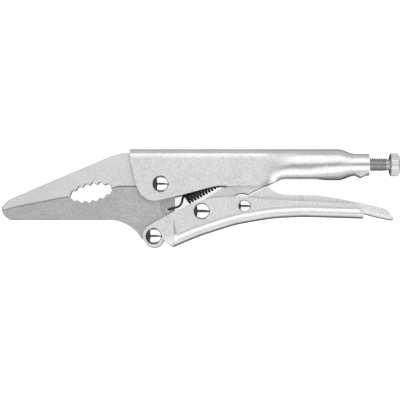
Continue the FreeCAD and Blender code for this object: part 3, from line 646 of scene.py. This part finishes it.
TAB_PLACE = Vector((19.6 * MM, AXIS_Y, MIDDLE))  # where the rear end of the spring is hooked
FLAT_END = 24.0 * MM                            # where the flat walls begin to turn into the tube
OPEN_TURN = 152.0                               # from the top of the tube to the edge of its slot, in degrees
SLOT_TURN = 150.0                               # the same further back, along the open slot
SHUT_TURN = 178.6                               # and where the slot has closed, before the neck
TUBE_RADIUS = HANDLE_TOP - AXIS_Y
NECK_STEP = 2.0 * MM                            # the neck's radius is this much less than the tube's
LUG_PLACE = 68.6 * MM                           # middle of the pressed lug under the neck
LUG_HEIGHT = 1.2 * MM


def smooth_share(value, start, end):
    """0 before the start, 1 after the end, and an even turn between them."""
    share = min(max((value - start) / (end - start), 0.0), 1.0)
    return share * share * (3 - 2 * share)


def between(first, last, share):
    """The value at a share of the way from first to last."""
    return first + (last - first) * share


def handle_point(x, turn, flat_radius):
    """A point of the upper handle behind its flat walls, for an angle from the top of the tube."""
    side = abs(turn) / OPEN_TURN
    opening = between(OPEN_TURN, SLOT_TURN, smooth_share(x, FLAT_END, 35 * MM))
    opening = between(opening, SHUT_TURN, smooth_share(x, 48 * MM, 58 * MM))
    angle = math.radians(turn * opening / OPEN_TURN)
    section = TUBE_RADIUS - NECK_STEP * smooth_share(x, 59 * MM, 66.6 * MM)
    lug = smooth_share(x, 66 * MM, LUG_PLACE) - smooth_share(x, LUG_PLACE, 71.2 * MM)
    section += LUG_HEIGHT * lug * smooth_share(abs(turn), 118, 140)
    if abs(angle) > math.pi / 2:
        power = between(3.0, 2.0, smooth_share(x, 46 * MM, 58 * MM))
        section *= (abs(math.sin(angle)) ** power + abs(math.cos(angle)) ** power) ** (-1 / power)
    rolled = smooth_share(x, between(24, 26.5, side) * MM, between(42, 35.5, side) * MM)
    radius = between(flat_radius, section, rolled)
    return Vector((x, AXIS_Y + radius * math.cos(angle), MIDDLE + radius * math.sin(angle)))


def roll_tube(bm):
    """Draws the open rear edge of the walls out into the rolled tube and the neck."""
    turn_layer = bm.verts.layers.float.new("turn")
    flat_layer = bm.verts.layers.float.new("flat")
    walls = [edge for edge in open_ring(bm, FLAT_END) if edge.calc_length() > 4 * MM]
    bmesh.ops.subdivide_edges(bm, edges=walls, cuts=8)
    ring = open_ring(bm, FLAT_END)
    for vert in {vert for edge in ring for vert in edge.verts}:
        across = vert.co.z - MIDDLE
        up = vert.co.y - AXIS_Y
        vert[turn_layer] = math.degrees(math.atan2(across, up))
        vert[flat_layer] = math.hypot(across, up)
    # The stations are closer together where the tube narrows to the neck.
    stations = [FLAT_END + step * MM for step in range(1, 25)]
    stations += [(48 + 2 * step) * MM for step in range(1, 6)]
    stations += [(58.6 + 0.8 * step) * MM for step in range(1, 11)]
    stations += [67.4 * MM, LUG_PLACE, 70.0 * MM, 71.2 * MM, NECK_END]
    for x in stations:
        made = bmesh.ops.extrude_edge_only(bm, edges=ring)
        for vert in new_verts(made):
            vert.co = handle_point(x, vert[turn_layer], vert[flat_layer])
        ring = open_ring(bm, x)
    for name in ("flat", "turn"):
        bm.verts.layers.float.remove(bm.verts.layers.float[name])


class PLIERS_OT_upper_handle(bpy.types.Operator):
    """Make the upper handle: flat walls over the jaws, rolled into a tube and a neck round the screw"""
    bl_idname = "pliers.upper_handle"
    bl_label = "Upper handle"

    def execute(self, context):
        outline = corners_from(JAW_PIN, [
            (-22.0, 9.2), (-13.0, 9.2), (-11.8, 4.6), (-10.4, -1.0), (-8.6, -4.5), (-5.4, -7.0, 3.5),
            (-1.9, -7.2), (9.5, -4.65), (20.6, -1.6), (24.0, -0.9)])
        # The sheet is drawn too long at both ends, and cut back once it is bent.
        spare_end = FLAT_END + 9 * MM
        outline += [(spare_end, JAW_PIN.y - 0.85 * MM, 0.0), (spare_end, HANDLE_TOP, 0.0),
                    (JAW_PIN.x - 22 * MM, HANDLE_TOP, 0.0)]
        radius = sizes().spine_radius

        def is_bend(middle):
            return middle.y > HANDLE_TOP - 1e-5

        def is_open(face):
            under_bend = face.normal.y < 0.95 and face.calc_center_median().y < HANDLE_TOP - radius * 0.9
            return under_bend or abs(face.normal.x) > 0.95

        bm = folded_sheet(outline, EAR_WIDTH, radius, is_bend, is_open)
        pierce(bm, [circle_points(JAW_PIN, PIN_RADIUS + HOLE_PLAY)])
        cut_off(bm, (FLAT_END, 0, 0), (1, 0, 0))
        cut_off(bm, (JAW_PIN.x - 13.5 * MM, HANDLE_TOP, 0), (-6.0, -0.5, 0))
        roll_tube(bm)
        finish = handle_finish(bend_or_tube)
        sheet_piece(bm, "upper_handle", "root", finish, sizes().sheet, sizes().sheared_edge)
        self.make_tab(finish)
        return {"FINISHED"}

    def make_tab(self, finish):
        """The plate across the inside of the handle that holds the rear end of the spring."""
        foot = JAW_PIN.y + 6.7 * MM
        bm = bmesh.new()
        outline = [(foot, -1), (HANDLE_TOP - 1.2 * MM, -1), (HANDLE_TOP - 1.2 * MM, 1), (foot, 1)]
        verts = [bm.verts.new((TAB_PLACE.x - 0.8 * MM, y, MIDDLE + side * 1.7 * MM)) for y, side in outline]
        face = bm.faces.new(verts)
        made = bmesh.ops.extrude_face_region(bm, geom=[face])
        bmesh.ops.translate(bm, verts=new_verts(made), vec=(1.6 * MM, 0, 0))
        bmesh.ops.recalc_face_normals(bm, faces=bm.faces[:])
        tab = piece_from(bm, "spring_tab_plate", "root", finish, ["upper_handle"])
        soften(tab, 0.3 * MM)


# ---------------------------------------------------------------- lower handle, lever and link


class PLIERS_OT_lower_handle(bpy.types.Operator):
    """Make the lower handle: a sheet trough with two stepped ears round the moving jaw"""
    bl_idname = "pliers.lower_handle"
    bl_label = "Lower handle"

    def execute(self, context):
        outline = corners_from(SWING_PIN, [(8.0, 10.3), (-2.3, 4.5), (-12.5, -1.2), (-8.5, -11.6)])
        outline += corners_from(SWING_PIN, [(19.7, 0.2, 60), (35.25, 5.2, 60), (50.75, 7.8, 60),
                                            (63.6, 8.5, 60)])
        outline += corners_from(Vector((HANDLE_END, LEVER_PIN.y)), [(0, -5.2), (9, -5.2), (9, 1.0), (0, 1.0)])
        outline += corners_from(LEVER_PIN, [(23.95, 2.3), (10.2, 2.9, 30), (-4.0, 4.25, 30),
                                            (-15.95, 3.2, 20), (-24.15, 0.5, 30)])
        web_start = SWING_PIN.x - 8.4 * MM

        def is_bend(middle):
            under = middle.y < SWING_PIN.y + (middle.x - SWING_PIN.x) * 0.42 - 6 * MM or middle.x > 0
            return middle.x > web_start and under and middle.y < LEVER_PIN.y - 4.1 * MM

        def is_open(face):
            return not is_bend(face.calc_center_median()) or face.normal.x > 0.8

        bm = folded_sheet(outline, LOWER_WIDTH, sizes().web_radius, is_bend, is_open)
        pierce(bm, [circle_points(LINK_PIN, PIN_RADIUS + HOLE_PLAY),
                    circle_points(LEVER_PIN, SMALL_PIN_RADIUS + HOLE_PLAY)])
        cut_off(bm, (HANDLE_END, 0, 0), (1, 0, 0))
        self.slope_end(bm)
        self.add_ears(bm)
        self.step_in(bm)
        # The lower handle's plating has a painted dark reflection in spots where its web starts to bend.
        finish = handle_finish(away_from_flats(LOWER_WIDTH / 2, 0.25, web_start + 17 * MM), painted_reflection_band=0.28)
        sheet_piece(bm, "lower_handle", "lower_handle", finish, sizes().sheet, sizes().sheared_edge)
        return {"FINISHED"}

    def slope_end(self, bm):
        """Cuts the top of the rear end down to the web in two slopes."""
        corner = Vector((HANDLE_END - 2.7 * MM, LEVER_PIN.y - 0.8 * MM, 0))
        for normal in (Vector((1.9, 3.1, 0)), Vector((2.8, 2.7, 0))):
            cut_off(bm, corner, normal)

    def add_ears(self, bm):
        """Cuts the front of the sheet on a slope, and adds a round ear to both walls there."""
        corner = SWING_PIN + Vector((8.0, -4.7, 0)) * MM
        normal = Vector((-2.0, -2.4, 0)).normalized()
        cut_off(bm, corner, normal)
        for up in (-1, 1):
            flat = [edge for edge in bm.edges if edge.is_boundary
                    and all(abs((vert.co - corner).dot(normal)) < 1e-6 for vert in edge.verts)
                    and all((vert.co.z - MIDDLE) * up > LOWER_WIDTH / 2 - 1e-6 for vert in edge.verts)]
            front, back = sorted(flat[0].verts, key=lambda vert: vert.co.x)
            round_part = [bm.verts.new((x, y, front.co.z)) for x, y, _ in arc(SWING_PIN, 4.8, 126, 318, 20)]
            loop = [back, front] + round_part
            ear = bm.faces.new(loop if up > 0 else loop[::-1])
            ear.normal_update()

    def step_in(self, bm):
        """Sets the ears closer together than the walls behind them."""
        place = SWING_PIN + Vector((8.6, 5.9, 0)) * MM
        normal = Vector((7.2, 1.3, 0)).normalized()
        half_step = 0.35 * MM
        for shift in (-half_step, half_step):
            cut_across(bm, place + normal * shift, normal)
        depth = (LOWER_WIDTH - EAR_WIDTH) / 2
        for vert in bm.verts:
            height = vert.co.z - MIDDLE
            inside = smooth_share((place - vert.co).dot(normal), -half_step, half_step)
            if abs(height) > EAR_WIDTH / 2 - 0.4 * MM:
                vert.co.z = MIDDLE + math.copysign(abs(height) - depth * inside, height)


class PLIERS_OT_release_lever(bpy.types.Operator):
    """Make the release lever, a narrow sheet trough inside the lower handle"""
    bl_idname = "pliers.release_lever"
    bl_label = "Release lever"

    def execute(self, context):
        tail = Vector((LEVER_END, LEVER_PIN.y, 0))
        outline = arc(LEVER_PIN, 3.4, 170, 290, 10)
        outline += corners_from(LEVER_PIN, [(3.2, -0.7, 0.4), (4.4, -3.3), (12, -3.05), (24.85, -2.35),
                                            (50.95, -3.15), (55.75, -4.5, 25)])
        outline += corners_from(tail, [(-2.7, -5.6, 6), (6, -6.9), (6, -3.3)])
        outline += corners_from(LEVER_PIN, [
            (51.95, 1.1, 60), (38.15, 3.7, 60), (30.55, 4.8, 60), (16.4, 4.9, 6),
            (12.3, 6.4, 4), (10.2, 8.4, 0.6), (9.6, 8.3, 0.6), (1.15, 3.95, 4)])

        def is_bend(middle):
            return middle.x > LEVER_PIN.x + 3 * MM and middle.y < self.underside(middle.x) + 0.8 * MM

        def is_open(face):
            return not is_bend(face.calc_center_median()) or face.normal.x > 0.8

        bm = folded_sheet(outline, LEVER_WIDTH, sizes().lever_radius, is_bend, is_open)
        pierce(bm, [circle_points(LEVER_PIN, SMALL_PIN_RADIUS + HOLE_PLAY)])
        cut_off(bm, tail + Vector((0, -6.0, 0)) * MM, (3.3, 1.3, 0))
        cut_off(bm, tail + Vector((-2.9, -1.2, 0)) * MM, (1.0, 1.0, 0))
        finish = handle_finish(away_from_flats(LEVER_WIDTH / 2))
        sheet_piece(bm, "release_lever", "release_lever", finish, sizes().lever_sheet,
                    sizes().sheared_edge * 0.8)
        return {"FINISHED"}

    def underside(self, x):
        """The height of the underside of the lever at a distance along it."""
        line = [(LEVER_PIN.x, -3.4), (LEVER_PIN.x + 12 * MM, -3.05), (LEVER_PIN.x + 24.85 * MM, -2.35),
                (LEVER_PIN.x + 50.95 * MM, -3.15), (LEVER_PIN.x + 55.75 * MM, -4.5),
                (LEVER_END - 2.7 * MM, -5.6), (LEVER_END, -6.0)]
        for (x0, y0), (x1, y1) in zip(line, line[1:]):
            if x <= x1:
                return LEVER_PIN.y + between(y0, y1, max((x - x0) / (x1 - x0), 0)) * MM
        return LEVER_PIN.y + line[-1][1] * MM


class PLIERS_OT_toggle_link(bpy.types.Operator):
    """Make the toggle link, the bar that pushes on the tip of the screw"""
    bl_idname = "pliers.toggle_link"
    bl_label = "Toggle link"

    def execute(self, context):
        nose = Vector((40.5 * MM, AXIS_Y))
        notch = LEVER_PIN + Vector((-0.85, 0.7, 0)) * MM
        outline = arc(nose, 2.8, 115, -65, 10)
        outline += corners_from(LEVER_PIN, [(7.65, 8.2), (3.2, 6.1)])
        outline += arc(notch, 5.0, 60, 165, 8)
        outline += corners_from(LEVER_PIN, [(-6.4, -0.3)])
        outline += arc(LINK_PIN, 3.9, -59, -239, 14)
        outline += corners_from(LINK_PIN, [(8.9, 9.8), (11.6, 11.2)])
        bm = slab(rounded(outline), LINK_WIDTH, [circle_points(LINK_PIN, PIN_RADIUS + HOLE_PLAY)])
        round_off(bm, rim_edges(bm, LINK_WIDTH, lambda middle: (middle - LINK_PIN).to_2d().length > 2.4 * MM),
                  0.3 * MM, 2)
        finish = steel_finish("link plating", finishes().fixed, finishes().flat_roughness, grain=0.08)
        link = piece_from(bm, "toggle_link_bar", "toggle_link", finish, ["toggle_link"])
        weigh(link)
        return {"FINISHED"}


# ---------------------------------------------------------------- screw and knob

THREAD_RADIUS = 2.95 * MM
THREAD_DEPTH = 0.6 * MM
THREAD_PITCH = 1.0 * MM
TURN_STEPS = 24


def turned_on(axis_place, axis, profile, steps):
    """A closed round solid from a profile that starts and ends on the axis."""
    bm = bmesh.new()
    verts = [bm.verts.new(point) for point in profile]
    edges = [bm.edges.new(pair) for pair in zip(verts, verts[1:])]
    bmesh.ops.spin(bm, geom=verts + edges, cent=axis_place, axis=axis, angle=2 * math.pi, steps=steps,
                   use_merge=True)
    bmesh.ops.remove_doubles(bm, verts=bm.verts[:], dist=1e-7)
    bmesh.ops.recalc_face_normals(bm, faces=bm.faces[:])
    return bm


class PLIERS_OT_screw(bpy.types.Operator):
    """Make the adjusting screw with its thread, and its ribbed knob"""
    bl_idname = "pliers.screw"
    bl_label = "Screw and knob"

    def execute(self, context):
        self.make_shank()
        self.make_knob()
        return {"FINISHED"}

    def make_shank(self):
        """The threaded rod: a plain core with one ridge wound round it."""
        centre = Vector((0, AXIS_Y, MIDDLE))
        core = THREAD_RADIUS - THREAD_DEPTH
        profile = [(SCREW_START, 0), (SCREW_START, core - 0.7 * MM), (SCREW_START + 0.7 * MM, core),
                   (KNOB_END - 0.3 * MM, core), (KNOB_END, core - 0.3 * MM), (KNOB_END, 0)]
        bm = turned_on(centre, (1, 0, 0), [(x, AXIS_Y + radius, MIDDLE) for x, radius in profile], 32)
        ridge = bmesh.new()
        start = SCREW_START + 1.2 * MM
        root = core - 0.1 * MM
        corners = [(start, root), (start + THREAD_PITCH * 0.94, root),
                   (start + THREAD_PITCH * 0.52, THREAD_RADIUS), (start + THREAD_PITCH * 0.42, THREAD_RADIUS)]
        verts = [ridge.verts.new((x, AXIS_Y + radius, MIDDLE)) for x, radius in corners]
        face = ridge.faces.new(verts)
        turns = int((KNOB_START - start) / THREAD_PITCH) - 1
        bmesh.ops.spin(ridge, geom=verts + list(face.edges) + [face], cent=centre, axis=(1, 0, 0),
                       dvec=(THREAD_PITCH / TURN_STEPS, 0, 0), angle=2 * math.pi * turns,
                       steps=TURN_STEPS * turns)
        bmesh.ops.recalc_face_normals(ridge, faces=ridge.faces[:])
        add_shells(bm, ridge)
        finish = steel_finish("screw plating", finishes().screw, 0.3, grain=0.04)
        shank = piece_from(bm, "screw_thread", "screw", finish, ["screw_shank"], sharp=30)
        weigh(shank)

    def make_knob(self):
        """The knob: a ring of ribs, closed at both faces."""
        ribs = 30
        rib_top = 5.1 * MM
        rib_foot = 4.35 * MM
        chamfer = 0.55 * MM
        bm = bmesh.new()
        bmesh.ops.create_circle(bm, cap_ends=False, segments=ribs * 4, radius=rib_foot - chamfer,
                                matrix=Matrix.Translation((KNOB_START, AXIS_Y, MIDDLE))
                                @ Matrix.Rotation(math.pi / 2, 4, "Y"))
        ring = bm.edges[:]
        for x, is_full in ((KNOB_START + chamfer, True), (KNOB_END - chamfer, True), (KNOB_END, False)):
            made = bmesh.ops.extrude_edge_only(bm, edges=ring)
            for vert in new_verts(made):
                spoke = Vector((0, vert.co.y - AXIS_Y, vert.co.z - MIDDLE)).normalized()
                step = math.atan2(spoke.z, spoke.y) / (2 * math.pi) * ribs * 4
                top = round(step) % 4 in (0, 1)
                radius = (rib_top if top else rib_foot) if is_full else rib_foot - chamfer
                vert.co = Vector((x, AXIS_Y, MIDDLE)) + spoke * radius
            ring = open_ring(bm, x)
        self.close_ends(bm)
        finish = steel_finish("knob plating", finishes().fixed, 0.3, grain=0.05)
        knob = piece_from(bm, "screw_knob_ribbed", "knob", finish, ["screw_knob"], sharp=30)
        soften(knob, 0.08 * MM, 1, 40)

    def close_ends(self, bm):
        """Closes both faces of the knob, each with a shallow turned recess round the shank."""
        for x, inward in ((KNOB_START, 1), (KNOB_END, -1)):
            cap = bmesh.ops.contextual_create(bm, geom=open_ring(bm, x))["faces"]
            bmesh.ops.inset_region(bm, faces=cap, thickness=0.9 * MM, use_even_offset=True)
            verts = {vert for face in cap for vert in face.verts}
            bmesh.ops.translate(bm, verts=list(verts), vec=(0.25 * MM * inward, 0, 0))
        bmesh.ops.recalc_face_normals(bm, faces=bm.faces[:])


# ---------------------------------------------------------------- rivets

class PLIERS_OT_rivets(bpy.types.Operator):
    """Make the four polished rivets, domed on both sides"""
    bl_idname = "pliers.rivets"
    bl_label = "Rivets"

    def execute(self, context):
        finish = steel_finish("polished rivet steel", finishes().rivet, 0.09, grain=0.02, mottle=0.02,
                              bump=0.03)
        large = (("jaw_pivot_rivet", JAW_PIN, "root", EAR_WIDTH),
                 ("lower_jaw_rivet", SWING_PIN, "lower_handle", EAR_WIDTH),
                 ("link_rivet", LINK_PIN, "lower_handle", LOWER_WIDTH))
        for label, place, body, width in large:
            self.make_rivet(label, place, body, width, 3.5 * MM, PIN_RADIUS * MM, MIDDLE, finish)
        self.make_rivet("lever_rivet", LEVER_PIN, "lower_handle", LOWER_WIDTH, 2.65 * MM,
                        SMALL_PIN_RADIUS * MM, LOWER_WIDTH / 2 + 0.9 * MM, finish)
        return {"FINISHED"}

    def make_rivet(self, label, place, body, grip, head, pin, top, finish):
        """One rivet: its shank, and on each side a dome inside a fine pressed ring."""
        foot = grip / 2
        dome = head * 0.87
        rise = (top - foot) * 0.62
        curve_radius = (dome * dome + rise * rise) / (2 * rise)
        side = [(0.0, top)]
        for step in range(1, 13):
            radius = dome * step / 12
            side.append((radius, top - curve_radius + math.sqrt(curve_radius ** 2 - radius ** 2)))
        side += [(dome + 0.02 * MM, foot + 0.05 * MM), (head * 0.96, foot + 0.05 * MM),
                 (head * 0.96, foot + 0.35 * MM), (head, foot + 0.25 * MM), (head, foot), (pin, foot)]
        profile = side + [(radius, -height) for radius, height in reversed(side)]
        points = [(place.x + radius, place.y, MIDDLE + height) for radius, height in profile]
        bm = turned_on(place, (0, 0, 1), points, 48)
        rivet = piece_from(bm, label + "_polished", body, finish, [label], sharp=40)
        weigh(rivet)


# ---------------------------------------------------------------- spring

COIL_RADIUS = 2.1 * MM
COIL_PITCH = 1.38 * MM
COIL_TURNS = 15
COIL_STEPS = 16
HOOK_SIDE = 1.85                                # millimetres from the middle to where the hook lies
# The hook: x and y in millimetres from the hole in the tab, and the share of the way to its side.
HOOK_BEND = ((1.3, 0.1, -1), (0.2, 0, -1), (-0.2, 0, 0), (0.1, 0, 0.9),
             (2.2, 0.5, 1), (4.6, 1.1, 1), (5.8, 2.6, 0.8), (6.1, 4.6, 0.3))


class PLIERS_OT_spring(bpy.types.Operator):
    """Make the tension spring, from the tab of the moving jaw to the tab in the upper handle"""
    bl_idname = "pliers.spring"
    bl_label = "Spring"

    def execute(self, context):
        up = Vector((0, 0, 1))
        start = Vector((-6.3 * MM, -0.4 * MM, MIDDLE))
        anchor = TAB_PLACE + Vector((0, 0.05 * MM, 0))
        along = (anchor - start).normalized()
        across = up.cross(along)
        points = [SPRING_HOLE + Vector((x, y, share * HOOK_SIDE)) * MM for x, y, share in HOOK_BEND]
        for step in range(COIL_TURNS * COIL_STEPS + 1):
            angle = 2 * math.pi * step / COIL_STEPS
            spoke = across * math.cos(angle) + up * math.sin(angle)
            points.append(start + along * (COIL_PITCH * step / COIL_STEPS) + spoke * COIL_RADIUS)
        end = start + along * COIL_PITCH * COIL_TURNS
        points.append(end + (along * 1.2 + across * 0.8) * MM)
        points += [anchor + Vector(place) * MM for place in ((-1.6, -0.1, 0), (1.4, 0, 0), (1.7, -1.1, 0))]
        spring = self.wire(points)
        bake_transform(spring, "root", "moving_jaw", start=end, end=start)
        return {"FINISHED"}

    def wire(self, points):
        """A closed round wire along some points."""
        curve = bpy.data.curves.new("spring path", "CURVE")
        curve.dimensions = "3D"
        curve.bevel_depth = sizes().wire_radius
        curve.bevel_resolution = 3
        curve.use_fill_caps = True
        curve.resolution_u = 2
        path = curve.splines.new("NURBS")
        path.points.add(len(points) - 1)
        for point, place in zip(path.points, points):
            point.co = (*place, 1)
        path.order_u = 3
        path.use_endpoint_u = True
        holder = bpy.data.objects.new("spring path", curve)
        bpy.context.scene.collection.objects.link(holder)
        bpy.context.view_layer.update()
        mesh = bpy.data.meshes.new_from_object(holder.evaluated_get(bpy.context.evaluated_depsgraph_get()))
        bpy.data.objects.remove(holder)
        bm = bmesh.new()
        bm.from_mesh(mesh)
        bmesh.ops.remove_doubles(bm, verts=bm.verts[:], dist=1e-7)
        bmesh.ops.recalc_face_normals(bm, faces=bm.faces[:])
        bpy.data.meshes.remove(mesh)
        finish = steel_finish("oiled spring wire", finishes().wire, 0.3, grain=0.05)
        return piece_from(bm, "spring_coil", None, finish, ["spring"])


# ---------------------------------------------------------------- stage

# Each soft box: its side of the tool, the two angles from straight above that it fills, its distance in
# metres and its radiance. Its length and its shift towards the knob are shares of the distance.
SOFT_BOXES = (("upper soft box", 1, 9, 67, 0.75, 1.12),
              ("lower soft box", -1, 12, 67, 0.75, 1.12),
              ("back soft box", 1, 72, 130, 1.2, 0.45),
              ("front soft box", -1, 75, 120, 1.2, 0.8))
BOX_LENGTH = 3.4
BOX_SHIFT = 1.0
WORLD_LEVEL = 0.06
FLOOR_RADIUS = 3.0
FLOOR_GAP = 0.2 * MM                            # from the tool down to the floor
WALL_HEIGHT = 1.5
SENSOR_WIDTH = 36.0
VIEW_DISTANCE = 0.75
VIEW_WIDTH = 172 * MM                           # what the camera sees from side to side
VIEW_CENTRE = Vector((-0.4 * MM, -0.63 * MM, MIDDLE))
VIEW_TILT = math.radians(3.5)                   # the camera stands this much towards the lower handle


class PLIERS_OT_stage(bpy.types.Operator):
    """Make the floor, the soft lights, the world and the camera"""
    bl_idname = "pliers.stage"
    bl_label = "Stage"

    def execute(self, context):
        self.make_floor()
        self.make_lights()
        self.make_camera(context)
        context.scene.view_settings.view_transform = "Standard"
        context.scene.view_settings.look = "None"
        return {"FINISHED"}

    def make_floor(self):
        """A white floor with a wall round it, both left out of reflections."""
        bm = bmesh.new()
        bmesh.ops.create_circle(bm, cap_ends=True, segments=48, radius=FLOOR_RADIUS,
                                matrix=Matrix.Translation((0, 0, -FLOOR_GAP)))
        rim = [edge for edge in bm.edges if edge.is_boundary]
        wall = bmesh.ops.extrude_edge_only(bm, edges=rim)
        bmesh.ops.translate(bm, verts=new_verts(wall), vec=(0, 0, WALL_HEIGHT))
        mesh = bpy.data.meshes.new("floor")
        bm.to_mesh(mesh)
        bm.free()
        floor = bpy.data.objects.new("floor", mesh)
        floor.visible_glossy = False
        floor.visible_shadow = False
        bpy.context.scene.collection.objects.link(floor)
        paper = bpy.data.materials.new("white paper")
        paper.use_nodes = True
        shader = paper.node_tree.nodes["Principled BSDF"]
        shader.inputs["Base Color"].default_value = (0.8, 0.8, 0.8, 1)
        shader.inputs["Roughness"].default_value = 0.9
        shader.inputs["Specular IOR Level"].default_value = 0.0
        shader.inputs["Emission Color"].default_value = (1, 1, 1, 1)
        shader.inputs["Emission Strength"].default_value = 0.8
        mesh.materials.append(paper)

    def make_lights(self):
        """Long soft boxes along both sides, with a dark strip between them over the tool."""
        for label, side, start, end, reach, radiance in SOFT_BOXES:
            middle = math.radians(start + end) / 2 + side * VIEW_TILT
            half_span = math.radians(end - start) / 2
            data = bpy.data.lights.new(label, "AREA")
            data.shape = "RECTANGLE"
            data.size = BOX_LENGTH * reach
            data.size_y = 2 * reach * math.tan(half_span)
            data.energy = radiance * math.pi * data.size * data.size_y
            lamp = bpy.data.objects.new(label, data)
            aim = -Vector((0, side * math.sin(middle), math.cos(middle)))
            lamp.location = Vector((BOX_SHIFT * reach, 0, 0)) - aim * reach
            lamp.rotation_euler = Matrix((
                (1, 0, 0), (0, -aim.z, aim.y), (0, -aim.y, -aim.z))).transposed().to_euler()
            bpy.context.scene.collection.objects.link(lamp)
        world = bpy.data.worlds.new("studio")
        world.use_nodes = True
        world.node_tree.nodes["Background"].inputs["Color"].default_value = (1, 1, 1, 1)
        world.node_tree.nodes["Background"].inputs["Strength"].default_value = WORLD_LEVEL
        bpy.context.scene.world = world

    def make_camera(self, context):
        """A long lens almost straight over the tool, a little towards the lower handle."""
        data = bpy.data.cameras.new("camera")
        camera = bpy.data.objects.new("camera", data)
        data.sensor_width = SENSOR_WIDTH
        data.lens = SENSOR_WIDTH * VIEW_DISTANCE / VIEW_WIDTH
        data.clip_start = 0.01
        away = Vector((0, -math.sin(VIEW_TILT), math.cos(VIEW_TILT)))
        camera.location = VIEW_CENTRE + away * VIEW_DISTANCE
        camera.rotation_euler = (VIEW_TILT, 0, 0)
        context.scene.collection.objects.link(camera)
        context.scene.camera = camera


# ---------------------------------------------------------------- add-on

MAKERS = (PLIERS_OT_fixed_jaw, PLIERS_OT_moving_jaw, PLIERS_OT_upper_handle, PLIERS_OT_lower_handle,
          PLIERS_OT_release_lever, PLIERS_OT_toggle_link, PLIERS_OT_screw, PLIERS_OT_rivets,
          PLIERS_OT_spring, PLIERS_OT_stage)


class PLIERS_PT_panel(bpy.types.Panel):
    """The pliers' pieces, sizes and finishes"""
    bl_idname = "PLIERS_PT_panel"
    bl_label = "Locking pliers"
    bl_space_type = "VIEW_3D"
    bl_region_type = "UI"
    bl_category = "Pliers"

    def draw(self, context):
        for group in (context.scene.pliers_sizes, context.scene.pliers_finishes):
            column = self.layout.column()
            for name in group.__annotations__:
                column.prop(group, name)
        for maker in MAKERS:
            self.layout.operator(maker.bl_idname)


CLASSES = (PliersSizes, PliersFinishes, *MAKERS, PLIERS_PT_panel)


def register():
    for entry in CLASSES:
        bpy.utils.register_class(entry)
    bpy.types.Scene.pliers_sizes = PointerProperty(type=PliersSizes)
    bpy.types.Scene.pliers_finishes = PointerProperty(type=PliersFinishes)


def unregister():
    del bpy.types.Scene.pliers_finishes
    del bpy.types.Scene.pliers_sizes
    for entry in reversed(CLASSES):
        bpy.utils.unregister_class(entry)


def main():
    """Builds everything in order."""
    register()
    for maker in MAKERS:
        group, name = maker.bl_idname.split(".")
        getattr(getattr(bpy.ops, group), name)()


if __name__ == "__main__":
    main()
